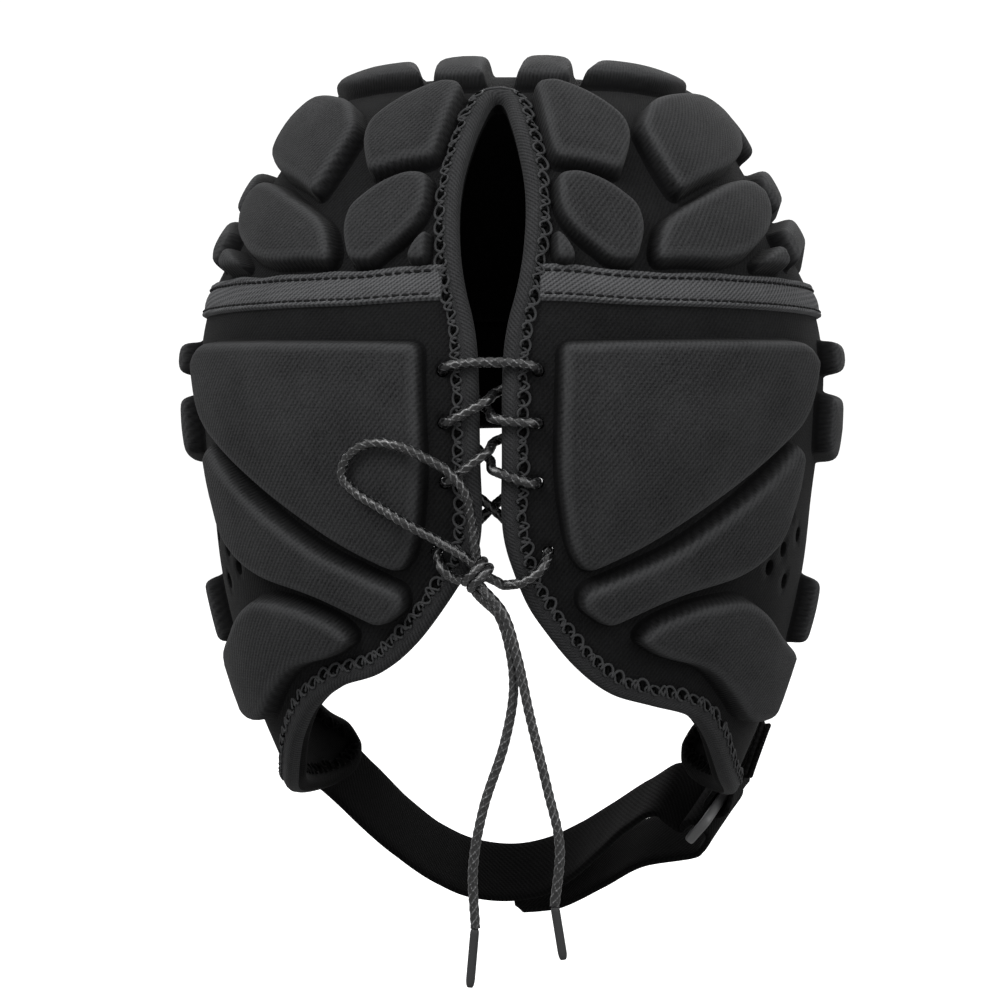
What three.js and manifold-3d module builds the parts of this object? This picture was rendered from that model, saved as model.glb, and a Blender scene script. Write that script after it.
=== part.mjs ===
import * as THREE from "three";
import { mergeVertices } from "three/addons/utils/BufferGeometryUtils.js";
import Module from "manifold-3d";

const wasm = await Module();
wasm.setup();

// Padded sports cap, worn form, millimetres.
// The origin is the inside of the crown at its top.
// +X is the wearer's right, +Y the face side, +Z up.

// Size of the worn form, on the inner face of the fabric
const HALF_WIDTH = 88;
const LENGTH_BACK = 103;
const LENGTH_FRONT = 102;
const LEVEL_STEP = 20;
const EGG = 0.04;
const DEGREE_LENGTH = 1.6;

// Thicknesses
const SHELL = 3;
const CLEARANCE = 0.3;
const PAD_RISE = 6;
const PAD_EDGE = 2;
const PAD_EDGE_SHARE = 0.36;
const PAD_BULGE = 0.6;
const SPECK = 0.05;
const PAD_CORNER = 4;
const SOFT_TURN = THREE.MathUtils.degToRad(42);
const LONG_EDGE = 42;
const TAPE = 1;

// Folded edging
const EDGING = 1;
const EDGING_WIDTH = 5;
const EDGING_TIP_WIDTH = 4.2;
const EDGING_GAP = 0.95;

// Lace and chin strap
const LACE_RADIUS = 1.4;
const LACE_HOLE = 2.7;
const AGLET_RADIUS = 1.25;
const STRAP_WIDTH = 25;
const STRAP_THICKNESS = 2;
const KEEPER_THICKNESS = 1.4;
const RING_BAR = 3;

// Form by level: depth below the top in level steps, then shares of the half width, of the
// length to the back and of the length to the front
const FORM = [
  [0, 0, 0, 0],
  [0.06, 0.25, 0.233, 0.235],
  [0.24, 0.494, 0.466, 0.471],
  [0.65, 0.636, 0.67, 0.676],
  [1.35, 0.744, 0.816, 0.833],
  [2.2, 0.852, 0.913, 0.931],
  [3.1, 0.959, 0.971, 0.985],
  [4, 1, 1, 1],
  [5, 0.989, 0.995, 0.985],
  [6, 0.96, 0.961, 0.951],
  [7, 0.932, 0.903, 0.902],
  [8, 0.881, 0.835, 0.843],
  [9, 0.8125, 0.748, 0.755],
  [10, 0.716, 0.65, 0.696],
  [10.75, 0.648, 0.573, 0.627],
];

// Rows and columns of the faceted form
const ROW_LEVELS = [0, 0.7, 1.4, 2.1, 2.7, 3.4, 4.2, 5, 5.85, 6.35, 7.6, 9, 10.4, 11.8, 13, 14];
const COLUMN_STEP = 12;
const SEAM_LEVEL = 6.1;
const TAPE_LEVELS = [5.85, 6.35];
const TAPE_START = 9.8;
const HEM_DROP = 2.8;

// Outer line of the edging on one side, as degrees around from the back and level
const BACK_RIM = [
  [0, 2.86],
  [1.6, 2.98],
  [3.3, 3.36],
  [4.9, 3.8],
  [6.3, 4.4],
  [6.5, 4.95],
  [5.7, 5.55],
  [4.4, 6.1],
  [2.9, 6.6],
  [2.1, 7.1],
  [1.85, 7.8],
  [1.8, 8.5],
  [1.65, 9.15],
  [2.2, 9.6],
  [4, 10],
  [8, 10.5],
  [15, 11.1],
  [23, 11.5],
  [33, 11.7],
  [43, 11.95],
  [52, 12.33],
  [61, 12.73],
  [71, 13.08],
  [83, 13.3],
  [96, 13.42],
  [109, 13.42],
  [119, 13.3],
  [125.5, 13.08],
  [128.6, 12.75],
];
const FACE_RIM = [
  [128.6, 12.75],
  [126, 12.42],
  [119, 12.2],
  [113.5, 11.8],
  [109.5, 11.1],
  [107.8, 10.3],
  [109, 9.5],
  [113, 9],
  [120, 8.62],
  [129, 8.32],
  [140, 8.08],
  [153, 7.95],
  [166, 7.88],
  [180, 7.86],
];
const BACK_STEPS = 31;
const FACE_STEPS = 13;
const JOIN_SHARE = 0.03;

// Crown pads of one side: corners as degrees around and level
const CROWN_PADS = {
  inner_upper: [
    [8.8, 2.84], [15, 2.72], [25, 3.12], [31, 3.55], [30.5, 3.95], [26, 4.48], [12, 4.27], [10.6, 3.7],
  ],
  inner_lower: [
    [12.2, 4.48], [17, 4.42], [23, 4.6], [28, 4.95], [28, 5.32], [25, 5.78], [20.5, 5.8], [15, 5.42],
    [12, 5.05],
  ],
  outer_upper: [
    [33.5, 3.62], [40, 3.1], [52, 2.86], [72, 2.7], [80, 3], [80, 3.5], [68, 3.98], [56, 4.3],
    [38, 4.76], [35.5, 4.3],
  ],
  outer_lower: [
    [28.8, 5.6], [31.8, 5.2], [37, 4.97], [45, 4.72], [54, 4.47], [64, 4.37], [69, 4.55], [67, 4.95],
    [60, 5.32], [50, 5.66], [42, 5.79], [29, 5.79],
  ],
  corner: [[63, 5.42], [63, 5.79], [52, 5.79], [53, 5.7]],
  slot_side: [[11, 5.3], [12.8, 5.38], [14.4, 5.62], [14.2, 5.79], [10.8, 5.79]],
  top_inner: [[4.2, 2.58], [20, 2.58], [44, 1.12], [12, 0.95]],
  top_outer: [[27, 2.42], [56, 2.5], [84, 2.35], [80, 1.3], [45, 1.5]],
  side_top: [[87, 2.86], [105, 2.84], [109, 3.35], [104, 3.8], [88, 3.82], [85, 3.4]],
  side_upper: [[71.5, 4.42], [76, 4.18], [104, 4.15], [109, 4.5], [104, 4.85], [72.5, 4.88]],
  side_lower: [[67, 5.2], [71, 5.1], [106, 5.1], [110, 5.38], [106, 5.72], [67, 5.74]],
  front_top: [[98, 2.55], [122, 2.7], [152, 2.6], [135, 1.6], [103, 1.3]],
  front_inner: [[176, 3], [152, 3], [150, 3.9], [156, 4.5], [176, 4.4]],
  front_outer: [[146, 3.1], [124, 2.95], [112.5, 3.5], [118, 4.35], [138, 4.7], [148, 4.2]],
  front_low: [[176.4, 4.88], [150.6, 4.94], [121.2, 4.74], [116, 5.3], [121.6, 5.74], [176.4, 5.74]],
};

// Guard pads of one side: corners as degrees around and level
const GUARD_PADS = {
  back: [
    [11.2, 6.92], [62, 6.8], [67.5, 7.05], [63, 7.85], [40, 8.97], [26, 9.6], [16, 9.95], [13, 9.62],
    [11, 8.6],
  ],
  strip: [
    [61, 8.17], [46, 8.96], [31, 9.65], [15.3, 10.16], [15.3, 10.42], [20.5, 10.68], [33, 10.27], [48, 10.02],
    [60, 9.55], [64.5, 8.9], [65, 8.3],
  ],
  lobe: [
    [49, 10.28], [38, 10.37], [29, 10.6], [25.8, 10.84], [32, 11.1], [42, 11.24], [50, 11.6], [60, 12.08],
    [74, 12.08], [79, 11.1], [66, 10.9], [57, 10.5],
  ],
  cheek: [[82, 10.1], [99, 10.1], [101, 10.95], [84, 11.05]],
  temple_upper: [[76, 6.75], [110, 6.72], [110, 7.15], [77, 7.22]],
  temple_lower: [[74, 7.5], [110, 7.42], [110, 8.3], [92, 8.45], [76, 8.3]],
  brow: [[117, 6.72], [150, 6.7], [177, 6.7], [177, 7.25], [150, 7.3], [117, 7.55]],
};

// Lace holes of one side: degrees around and level
const HOLES = [
  [7.9, 7.3],
  [7.9, 7.98],
  [7.9, 8.77],
  [9.8, 9.68],
];

// Held run of the lace from the knot back to the knot: degrees around, level, height over the inner face
const LACE_ROUTE = [
  [2, 10.08, 6.4],
  [5, 10.04, 6.9],
  [8.4, 9.86, 6.5],
  [9.8, 9.68, 1.6],
  [8.4, 9.6, -3.5],
  [4, 9.45, -3.9],
  [0, 9.2, -3.9],
  [-4, 8.95, -3.9],
  [-6.6, 8.83, -3.5],
  [-7.9, 8.77, 1.6],
  [-6.6, 8.7, 6.5],
  [-2.2, 8.44, 6.9],
  [-0.4, 8.34, 5.7],
  [0, 8.3, 1.6],
  [0.4, 8.26, -2.7],
  [2.4, 8.2, -3.9],
  [6.6, 8.04, -3.5],
  [7.9, 7.98, 1.6],
  [6.6, 7.96, 6.5],
  [2.2, 7.93, 6.9],
  [0.4, 7.9, 5.7],
  [0, 7.88, 1.6],
  [-0.4, 7.84, -2.7],
  [-2.4, 7.7, -3.9],
  [-6.6, 7.38, -3.5],
  [-7.9, 7.3, 1.6],
  [-6.6, 7.24, 6.5],
  [-3, 7.2, 6.9],
  [3, 7.2, 6.9],
  [6.6, 7.24, 6.5],
  [7.9, 7.3, 1.6],
  [6.6, 7.36, -3.5],
  [2.4, 7.52, -3.9],
  [0.4, 7.6, -2.7],
  [0, 7.64, 1.6],
  [-0.4, 7.68, 5.7],
  [-2.2, 7.76, 6.9],
  [-6.6, 7.95, 6.5],
  [-7.9, 7.98, 1.6],
  [-6.6, 8.04, -3.5],
  [-2.4, 8.38, -3.9],
  [-0.4, 8.5, -2.7],
  [0, 8.54, 1.6],
  [0.4, 8.57, 5.7],
  [2.2, 8.62, 6.9],
  [6.6, 8.74, 6.5],
  [7.9, 8.77, 1.6],
  [6.6, 8.84, -3.6],
  [4, 8.95, -5],
  [0, 9.2, -7.1],
  [-4, 9.45, -5],
  [-8.3, 9.6, -3.6],
  [-9.8, 9.68, 1.6],
  [-8.6, 9.85, 6.1],
  [-6.7, 9.98, 6.8],
];
const LACE_STEPS = 76;

// Knot: middle and half sizes
const KNOT = [-4, -101.5, -140.4];
const KNOT_HALF = [4.2, 3.4, 3.8];

// Free loop on the left back pad: degrees around, level, height over the inner face
const LOOP_ROUTE = [
  [-4.4, 9.68, 7.6],
  [-8.6, 9.44, 9.4],
  [-13, 9.2, 12],
  [-17.4, 8.99, 12],
  [-21.2, 8.8, 12],
  [-23.3, 8.6, 12],
  [-22.4, 8.38, 12],
  [-19, 8.2, 12],
  [-14.6, 8.2, 12],
  [-10, 8.36, 11.4],
  [-6.2, 8.56, 10.6],
  [-3.6, 8.86, 9.9],
  [-2.8, 9.3, 9],
  [-2.4, 9.68, 7.8],
];
const LOOP_STEPS = 20;

// Free ends: x, y, z
const END_LEFT_ROUTE = [
  [-4.5, -100.3, -144.9],
  [1.6, -101, -151],
  [5, -101, -161],
  [6, -100.8, -172],
  [3.6, -100.6, -186],
  [-2.2, -100.4, -204],
  [-5, -100.3, -220],
  [-4.4, -100.2, -236.4],
];
const END_RIGHT_ROUTE = [
  [-2.5, -103.2, -144.1],
  [3.4, -104.5, -151],
  [7.2, -104.3, -163],
  [10.4, -104, -178],
  [15.2, -103.7, -198],
  [18.6, -103.4, -214],
  [17.2, -103.2, -230],
];
const END_STEPS = 10;
const AGLET_LEFT = [[-4.5, -100.2, -236.8], [-5.9, -100.2, -252.4]];
const AGLET_RIGHT = [[17.25, -103.2, -230.4], [19.6, -103.2, -244.4]];

// Start of the chin strap on the left tab: degrees around and level
const STRAP_START = [
  [-107, 12.3],
  [-115.5, 12.62],
  [-123.5, 12.95],
];
const STRAP_RAISE = 6.6;

// Middle line of the chin strap: x, y, z, then the direction across the band, then its share of the width
const STRAP_ROUTE = [
  [-48.4, 47.5, -210.4, 0.26, 0.82, 0.5, 1],
  [-38.2, 58, -221.4, 0.15, 0.83, 0.54, 1],
  [-27.1, 70, -231, 0.05, 0.8, 0.6, 1],
  [-16.9, 78.5, -236.2, 0, 0.77, 0.64, 1],
  [-5, 82, -237.8, 0, 0.77, 0.64, 1],
  [6, 79.5, -235.6, 0, 0.77, 0.64, 1],
  [16, 72.5, -230, 0.1, 0.78, 0.62, 1],
  [25, 64, -223, 0.2, 0.78, 0.6, 1],
  [35.6, 55, -214.4, 0.35, 0.73, 0.58, 1],
  [45, 49.6, -209.6, 0.42, 0.71, 0.575, 1],
];
const STRAP_RETURN = [
  [40, 60.4, -225.6, 0.3, 0.74, 0.58, 1],
  [26, 71, -232.8, 0.15, 0.78, 0.6, 1],
  [11, 80.6, -239.6, 0, 0.77, 0.64, 1],
  [0, 85, -241.8, 0, 0.77, 0.64, 0.96],
  [-3.4, 85.7, -242.2, 0, 0.77, 0.64, 0.7],
];
const STRAP_STEPS = 54;

// Ring of the strap: middle of its strap bar, direction of the bars, direction from bar to bar
const RING_MIDDLE = [57.8, 48.2, -215];
const RING_ALONG = [0.42, 0.71, 0.575];
const RING_ACROSS = [-0.44, 0.71, -0.55];
const RING_SPACING = 11;
const RING_OPENING = STRAP_WIDTH + 2.6;

// Turn of the strap round its bar: distances from the bar towards the head and away from the upper bar
const STRAP_TURN = [
  [4, 3],
  [3.9, -0.6],
  [2.4, -3.5],
  [-0.8, -4.4],
  [-4, -2.4],
  [-5, 2],
  [-4.6, 7],
];

// Keeper: width and its place on the right tab, degrees around and level
const KEEPER_WIDTH = 18;
const KEEPER_PLACES = [
  [107, 12.55],
  [114, 12.65],
];
const KEEPER_RAISE = 9;

const FORM_SIZES = [LEVEL_STEP, HALF_WIDTH, LENGTH_BACK, LENGTH_FRONT];
const rows = FORM.map((row) => row.map((share, k) => share * FORM_SIZES[k]));
const top = rows[1];
const last = rows[rows.length - 1];
const beforeLast = rows[rows.length - 2];
const framed = [
  [top[0], -top[1], -top[2], -top[3]],
  ...rows,
  last.map((value, k) => 2 * value - beforeLast[k]),
];

// Depth, half width and half lengths at a level, smooth through the rows
function section(level) {
  const i = Math.min(Math.max(Math.floor(level), 0), rows.length - 2);
  const t = level - i;
  return [0, 1, 2, 3].map((k) => {
    const [a, b, c, d] = [framed[i][k], framed[i + 1][k], framed[i + 2][k], framed[i + 3][k]];
    return 0.5 * (2 * b + (c - a) * t + (2 * a - 5 * b + 4 * c - d) * t * t + (3 * b - a - 3 * c + d) * t * t * t);
  });
}

// Point of the inner face
function facePoint(around, level) {
  const [down, side, back, front] = section(level);
  const angle = THREE.MathUtils.degToRad(around);
  const s = Math.sin(angle);
  const c = Math.cos(angle);
  return new THREE.Vector3(side * s * (1 + EGG * c), -(c > 0 ? back : front) * c, -down);
}

// Outward direction of the inner face
function faceNormal(around, level) {
  if (level < 0.02) return new THREE.Vector3(0, 0, 1);
  const across = facePoint(around + 0.1, level).sub(facePoint(around - 0.1, level));
  const below = facePoint(around, level + 1e-3).sub(facePoint(around, level - 1e-3));
  return below.cross(across).normalize();
}

// Point at a height over the inner face
function smoothPoint(around, level, height) {
  return facePoint(around, level).addScaledVector(faceNormal(around, level), height);
}

// Same point on the faceted form, so that layers stay parallel
function formPoint(around, level, height) {
  const column = Math.floor(around / COLUMN_STEP);
  let row = 0;
  while (row < ROW_LEVELS.length - 2 && level >= ROW_LEVELS[row + 1]) row += 1;
  const u = around / COLUMN_STEP - column;
  const v = (level - ROW_LEVELS[row]) / (ROW_LEVELS[row + 1] - ROW_LEVELS[row]);
  const corner = (i, j) => smoothPoint((column + i) * COLUMN_STEP, ROW_LEVELS[row + j], height);
  const point = corner(0, 0);
  const far = corner(1, 1);
  if (u >= v) {
    const side = corner(1, 0);
    return point.multiplyScalar(1 - u).addScaledVector(side, u - v).addScaledVector(far, v);
  }
  const side = corner(0, 1);
  return point.multiplyScalar(1 - v).addScaledVector(side, v - u).addScaledVector(far, u);
}

// Millimetres for one degree around and for one level at a place
function localScale(around, level) {
  const perDegree = facePoint(around + 0.5, level).distanceTo(facePoint(around - 0.5, level));
  const perLevel = facePoint(around, level + 0.05).distanceTo(facePoint(around, level - 0.05)) * 10;
  return [perDegree, perLevel];
}

// Closed solid from triangles over a list of points
function solid(points, faces) {
  let volume = 0;
  for (const [a, b, c] of faces) {
    volume += points[a].dot(new THREE.Vector3().crossVectors(points[b], points[c]));
  }
  const triangles = volume < 0 ? faces.map(([a, b, c]) => [a, c, b]) : faces;
  const vertProperties = new Float32Array(points.flatMap((p) => [p.x, p.y, p.z]));
  const triVerts = new Uint32Array(triangles.flat());
  return new wasm.Manifold(new wasm.Mesh({ numProp: 3, vertProperties, triVerts }));
}

// Closed solid from rings of points, each end closed over its middle point
function loft(rings, first, end) {
  const count = rings[0].length;
  const points = [first, ...rings.flat(), end];
  const faces = [];
  const at = (r, k) => 1 + r * count + (k % count);
  for (let k = 0; k < count; k += 1) {
    faces.push([0, at(0, k + 1), at(0, k)]);
    faces.push([points.length - 1, at(rings.length - 1, k), at(rings.length - 1, k + 1)]);
    for (let r = 0; r + 1 < rings.length; r += 1) {
      faces.push([at(r, k), at(r, k + 1), at(r + 1, k + 1)]);
      faces.push([at(r, k), at(r + 1, k + 1), at(r + 1, k)]);
    }
  }
  return solid(points, faces);
}

// Closed solid swept through rings, each end closed over fixed triangles of the section
function sweep(rings, cap) {
  const count = rings[0].length;
  const points = rings.flat();
  const faces = [];
  const at = (r, k) => r * count + (k % count);
  for (let r = 0; r + 1 < rings.length; r += 1) {
    for (let k = 0; k < count; k += 1) {
      faces.push([at(r, k), at(r, k + 1), at(r + 1, k + 1)]);
      faces.push([at(r, k), at(r + 1, k + 1), at(r + 1, k)]);
    }
  }
  for (const [a, b, c] of cap) {
    faces.push([at(0, c), at(0, b), at(0, a)]);
    faces.push([at(rings.length - 1, a), at(rings.length - 1, b), at(rings.length - 1, c)]);
  }
  return solid(points, faces);
}

// Mean point of a ring
function middleOf(points) {
  const sum = new THREE.Vector3();
  for (const p of points) sum.add(p);
  return sum.multiplyScalar(1 / points.length);
}

// Whole form grown by a height
function formSolid(height) {
  const rings = [];
  for (const level of ROW_LEVELS.slice(1)) {
    const ring = [];
    for (let around = 0; around < 360; around += COLUMN_STEP) {
      ring.push(smoothPoint(around, level, height));
    }
    rings.push(ring);
  }
  const count = rings[0].length;
  const points = [smoothPoint(0, 0, height), ...rings.flat(), new THREE.Vector3(0, 0, rings.at(-1)[0].z)];
  const faces = [];
  const at = (r, k) => 1 + r * count + (k % count);
  for (let k = 0; k < count; k += 1) {
    faces.push([0, at(0, k), at(0, k + 1)]);
    faces.push([points.length - 1, at(rings.length - 1, k + 1), at(rings.length - 1, k)]);
    for (let r = 0; r + 1 < rings.length; r += 1) {
      faces.push([at(r, k), at(r + 1, k), at(r + 1, k + 1)]);
      faces.push([at(r, k), at(r + 1, k + 1), at(r, k + 1)]);
    }
  }
  return solid(points, faces);
}

// Both sides of a table about the middle line at the given angle, from one end to the other
function bothSides(table, middle) {
  const far = table.map(([around, level]) => [2 * middle - around, level]);
  return middle === 0 ? [...far.slice(1).reverse(), ...table] : [...table, ...far.slice(0, -1).reverse()];
}

// Place on the hem moved down on the right side and up on the left
function settled([around, level]) {
  const side = Math.abs(around);
  const along = THREE.MathUtils.smoothstep(side, 1.5, 7) * (1 - THREE.MathUtils.smoothstep(side, 30, 50));
  const share = along * THREE.MathUtils.smoothstep(level, 9.6, 10.2);
  return [around, level + (Math.sign(around) * share * HEM_DROP) / LEVEL_STEP];
}

// Points spaced evenly along a rim list
function spaced(table, steps) {
  const flat = table.map(([around, level]) => new THREE.Vector2(around * DEGREE_LENGTH, level * LEVEL_STEP));
  return new THREE.SplineCurve(flat)
    .getSpacedPoints(steps)
    .map((p) => [p.x / DEGREE_LENGTH, p.y / LEVEL_STEP]);
}

// Inward direction at each point of a path, as degrees and levels for one millimetre
function inwardSteps(path, start, end) {
  return path.map(([around, level], k) => {
    const before = path[k - 1] || start;
    const after = path[k + 1] || end;
    const [perDegree, perLevel] = localScale(around, level);
    const run = new THREE.Vector2((after[0] - before[0]) * perDegree, (after[1] - before[1]) * perLevel);
    run.normalize();
    return [run.y / perDegree, -run.x / perLevel];
  });
}

function moved(path, inward, distance) {
  return path.map(([around, level], k) => [
    around + inward[k][0] * distance,
    level + inward[k][1] * distance,
  ]);
}

const backPath = spaced(bothSides(BACK_RIM, 0), 2 * BACK_STEPS).map(settled);
const facePath = spaced(bothSides(FACE_RIM, 180), 2 * FACE_STEPS);
const turned = ([around, level], turn) => [around + turn, level];
const backInward = inwardSteps(backPath, turned(facePath.at(-2), -360), facePath[1]);
const faceInward = inwardSteps(facePath, backPath.at(-2), turned(backPath[1], 360));

// Fabric edge, set back inside the fold of the edging, and the reach of cutters
const SETBACK = EDGING + CLEARANCE;
const CUT_OUTSIDE = 2 * SHELL + 1;
const CUT_INSIDE = SHELL + 1;
const CUT_FLOOR = last[0] + 15 * SHELL;
const edgeBack = moved(backPath, backInward, SETBACK);
const edgeFace = moved(facePath, faceInward, SETBACK);

// Slot at the back, cut through the fabric
function slotCutter() {
  const middle = (edgeBack.length - 1) / 2;
  const right = edgeBack.slice(middle + 1).filter(([, level]) => level < 10.15);
  const ringAt = (height) => {
    const line = right.map(([around, level]) => formPoint(around, level, height));
    const mirrored = right.map(([around, level]) => formPoint(-around, level, height));
    const apex = formPoint(0, edgeBack[middle][1], height);
    return { apex, line, mirrored };
  };
  const low = ringAt(-CUT_INSIDE);
  const high = ringAt(CUT_OUTSIDE);
  const n = right.length;
  const points = [low.apex, ...low.line, ...low.mirrored, high.apex, ...high.line, ...high.mirrored];
  const faces = [];
  const upper = 2 * n + 1;
  const R = (k, layer) => layer * upper + (k === 0 ? 0 : k);
  const L = (k, layer) => layer * upper + (k === 0 ? 0 : n + k);
  for (let k = 0; k < n; k += 1) {
    for (const layer of [0, 1]) {
      const quad = k === 0
        ? [[R(0, layer), R(1, layer), L(1, layer)]]
        : [[R(k, layer), R(k + 1, layer), L(k + 1, layer)], [R(k, layer), L(k + 1, layer), L(k, layer)]];
      for (const [a, b, c] of quad) faces.push(layer ? [a, b, c] : [a, c, b]);
    }
    faces.push([R(k, 0), R(k + 1, 1), R(k, 1)], [R(k, 0), R(k + 1, 0), R(k + 1, 1)]);
    faces.push([L(k, 0), L(k, 1), L(k + 1, 1)], [L(k, 0), L(k + 1, 1), L(k + 1, 0)]);
  }
  faces.push([R(n, 0), L(n, 1), R(n, 1)], [R(n, 0), L(n, 0), L(n, 1)]);
  return solid(points, faces);
}

// Everything below the hem
function hemCutter() {
  const middle = (edgeBack.length - 1) / 2;
  const hemOf = (side) => {
    const line = [];
    for (let k = 1; k <= middle; k += 1) {
      const [around, level] = edgeBack[middle + side * k];
      const prior = line.length ? line.at(-1)[0] : 0;
      if (level > 9.55 && side * around > prior + 0.4) line.push([side * around, level]);
    }
    return line;
  };
  const right = hemOf(1);
  const left = hemOf(-1).map(([around, level]) => [360 - around, level]).reverse();
  const [tipAround, tipLevel] = right.at(-1);
  const start = [0, right[0][1] - 0.05];
  const front = [];
  for (let around = 140; around <= 220; around += 10) front.push([around, tipLevel]);
  const line = [start, ...right, ...front.filter(([around]) => around > tipAround + 4), ...left];
  const outer = line.map(([around, level]) => formPoint(around, level, CUT_OUTSIDE));
  const inner = line.map(([around, level]) => formPoint(around, level, -CUT_INSIDE));
  const floor = outer.map((p) => new THREE.Vector3(p.x * 1.3, p.y * 1.3, -CUT_FLOOR));
  const middleInside = new THREE.Vector3(0, 0, -0.7 * CUT_FLOOR);
  return loft([inner, outer, floor], middleInside, new THREE.Vector3(0, 0, -CUT_FLOOR));
}

// Opening for the face, from brow to tab tips
function faceCutter() {
  const half = edgeFace.slice(0, (edgeFace.length + 1) / 2).reverse();
  const sides = half.filter(([around]) => around < 172);
  const low = [128, 13.8];
  const lines = [...sides, low];
  const columns = 12;
  const grid = (height) => lines.map(([around, level]) => {
    const line = [];
    for (let k = 0; k <= columns; k += 1) {
      const at = around + ((360 - 2 * around) * k) / columns;
      const brow = lines[0][1];
      const sag = level < brow + 0.02 ? (edgeFace[(edgeFace.length - 1) / 2][1] - brow) : 0;
      const share = Math.sin((Math.PI * k) / columns);
      line.push(formPoint(at, level + sag * share, height));
    }
    return line;
  });
  const points = [...grid(-5).flat(), ...grid(8).flat()];
  const faces = [];
  const wide = columns + 1;
  const tall = lines.length;
  const id = (layer, r, k) => layer * wide * tall + r * wide + k;
  for (let r = 0; r + 1 < tall; r += 1) {
    for (let k = 0; k < columns; k += 1) {
      faces.push([id(1, r, k), id(1, r + 1, k), id(1, r + 1, k + 1)]);
      faces.push([id(1, r, k), id(1, r + 1, k + 1), id(1, r, k + 1)]);
      faces.push([id(0, r, k), id(0, r + 1, k + 1), id(0, r + 1, k)]);
      faces.push([id(0, r, k), id(0, r, k + 1), id(0, r + 1, k + 1)]);
    }
    faces.push([id(0, r, 0), id(0, r + 1, 0), id(1, r + 1, 0)], [id(0, r, 0), id(1, r + 1, 0), id(1, r, 0)]);
    const e = columns;
    faces.push([id(0, r, e), id(1, r + 1, e), id(0, r + 1, e)], [id(0, r, e), id(1, r, e), id(1, r + 1, e)]);
  }
  for (let k = 0; k < columns; k += 1) {
    const b = tall - 1;
    faces.push([id(0, 0, k), id(1, 0, k + 1), id(0, 0, k + 1)], [id(0, 0, k), id(1, 0, k), id(1, 0, k + 1)]);
    faces.push([id(0, b, k), id(0, b, k + 1), id(1, b, k + 1)], [id(0, b, k), id(1, b, k + 1), id(1, b, k)]);
  }
  return solid(points, faces);
}

// Band of the form between two levels and two heights
function bandSolid(fromLevel, toLevel, low, high, fromAround, toAround) {
  const places = [fromAround];
  const first = Math.ceil((fromAround + 1) / COLUMN_STEP) * COLUMN_STEP;
  for (let around = first; around < toAround - 1; around += COLUMN_STEP) places.push(around);
  places.push(toAround);
  const rings = places.map((around) => [
    formPoint(around, fromLevel, low),
    formPoint(around, toLevel, low),
    formPoint(around, toLevel, high),
    formPoint(around, fromLevel, high),
  ]);
  return sweep(rings, [[0, 1, 2], [0, 2, 3]]);
}

// Round cutter through the fabric at a lace hole
function holeCutter(around, level) {
  const middle = formPoint(around, level, 1.5);
  const normal = faceNormal(around, level);
  const turn = new THREE.Quaternion().setFromUnitVectors(new THREE.Vector3(0, 1, 0), normal);
  const rings = [-4, 4].map((height) => {
    const ring = [];
    for (let k = 0; k < 8; k += 1) {
      const angle = (2 * Math.PI * k) / 8;
      const p = new THREE.Vector3(Math.cos(angle) * LACE_HOLE, height, Math.sin(angle) * LACE_HOLE);
      ring.push(p.applyQuaternion(turn).add(middle));
    }
    return ring;
  });
  return loft(rings, middleOf(rings[0]), middleOf(rings[1]));
}

// Flat layouts in millimetres for pad outlines: round the top, or unrolled below it
const roundLayout = {
  to: ([around, level]) => {
    const angle = THREE.MathUtils.degToRad(around);
    return new THREE.Vector2(Math.sin(angle) * level, Math.cos(angle) * level).multiplyScalar(LEVEL_STEP);
  },
  from: (p) => [THREE.MathUtils.radToDeg(Math.atan2(p.x, p.y)), p.length() / LEVEL_STEP],
};
const flatLayout = {
  to: ([around, level]) => new THREE.Vector2(around * DEGREE_LENGTH, level * LEVEL_STEP),
  from: (p) => [p.x / DEGREE_LENGTH, p.y / LEVEL_STEP],
};

// Pad outline with its corners cut, and long edges split
function padOutline(corners) {
  const outline = [];
  corners.forEach((corner, k) => {
    const before = corners[(k + corners.length - 1) % corners.length];
    const after = corners[(k + 1) % corners.length];
    const cut = (other) => Math.min(PAD_CORNER, corner.distanceTo(other) * 0.36) / corner.distanceTo(other);
    const turn = Math.abs(corner.clone().sub(before).angleTo(after.clone().sub(corner)));
    if (turn < SOFT_TURN) outline.push(corner.clone());
    else outline.push(corner.clone().lerp(before, cut(before)), corner.clone().lerp(after, cut(after)));
    if (corner.distanceTo(after) > LONG_EDGE) outline.push(corner.clone().lerp(after, 0.5));
  });
  return outline;
}

// Outline moved towards its inside
function insetOutline(outline, distance) {
  let area = 0;
  outline.forEach((p, k) => {
    area += p.cross(outline[(k + 1) % outline.length]);
  });
  const side = Math.sign(area);
  return outline.map((p, k) => {
    const before = outline[(k + outline.length - 1) % outline.length];
    const after = outline[(k + 1) % outline.length];
    const a = p.clone().sub(before).normalize();
    const b = after.clone().sub(p).normalize();
    const shift = new THREE.Vector2(-(a.y + b.y), a.x + b.x).multiplyScalar((side * distance) / (1 + a.dot(b)));
    return p.clone().add(shift.clampLength(0, 1.5 * distance));
  });
}

const outerCut = formSolid(SHELL + CLEARANCE);

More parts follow.
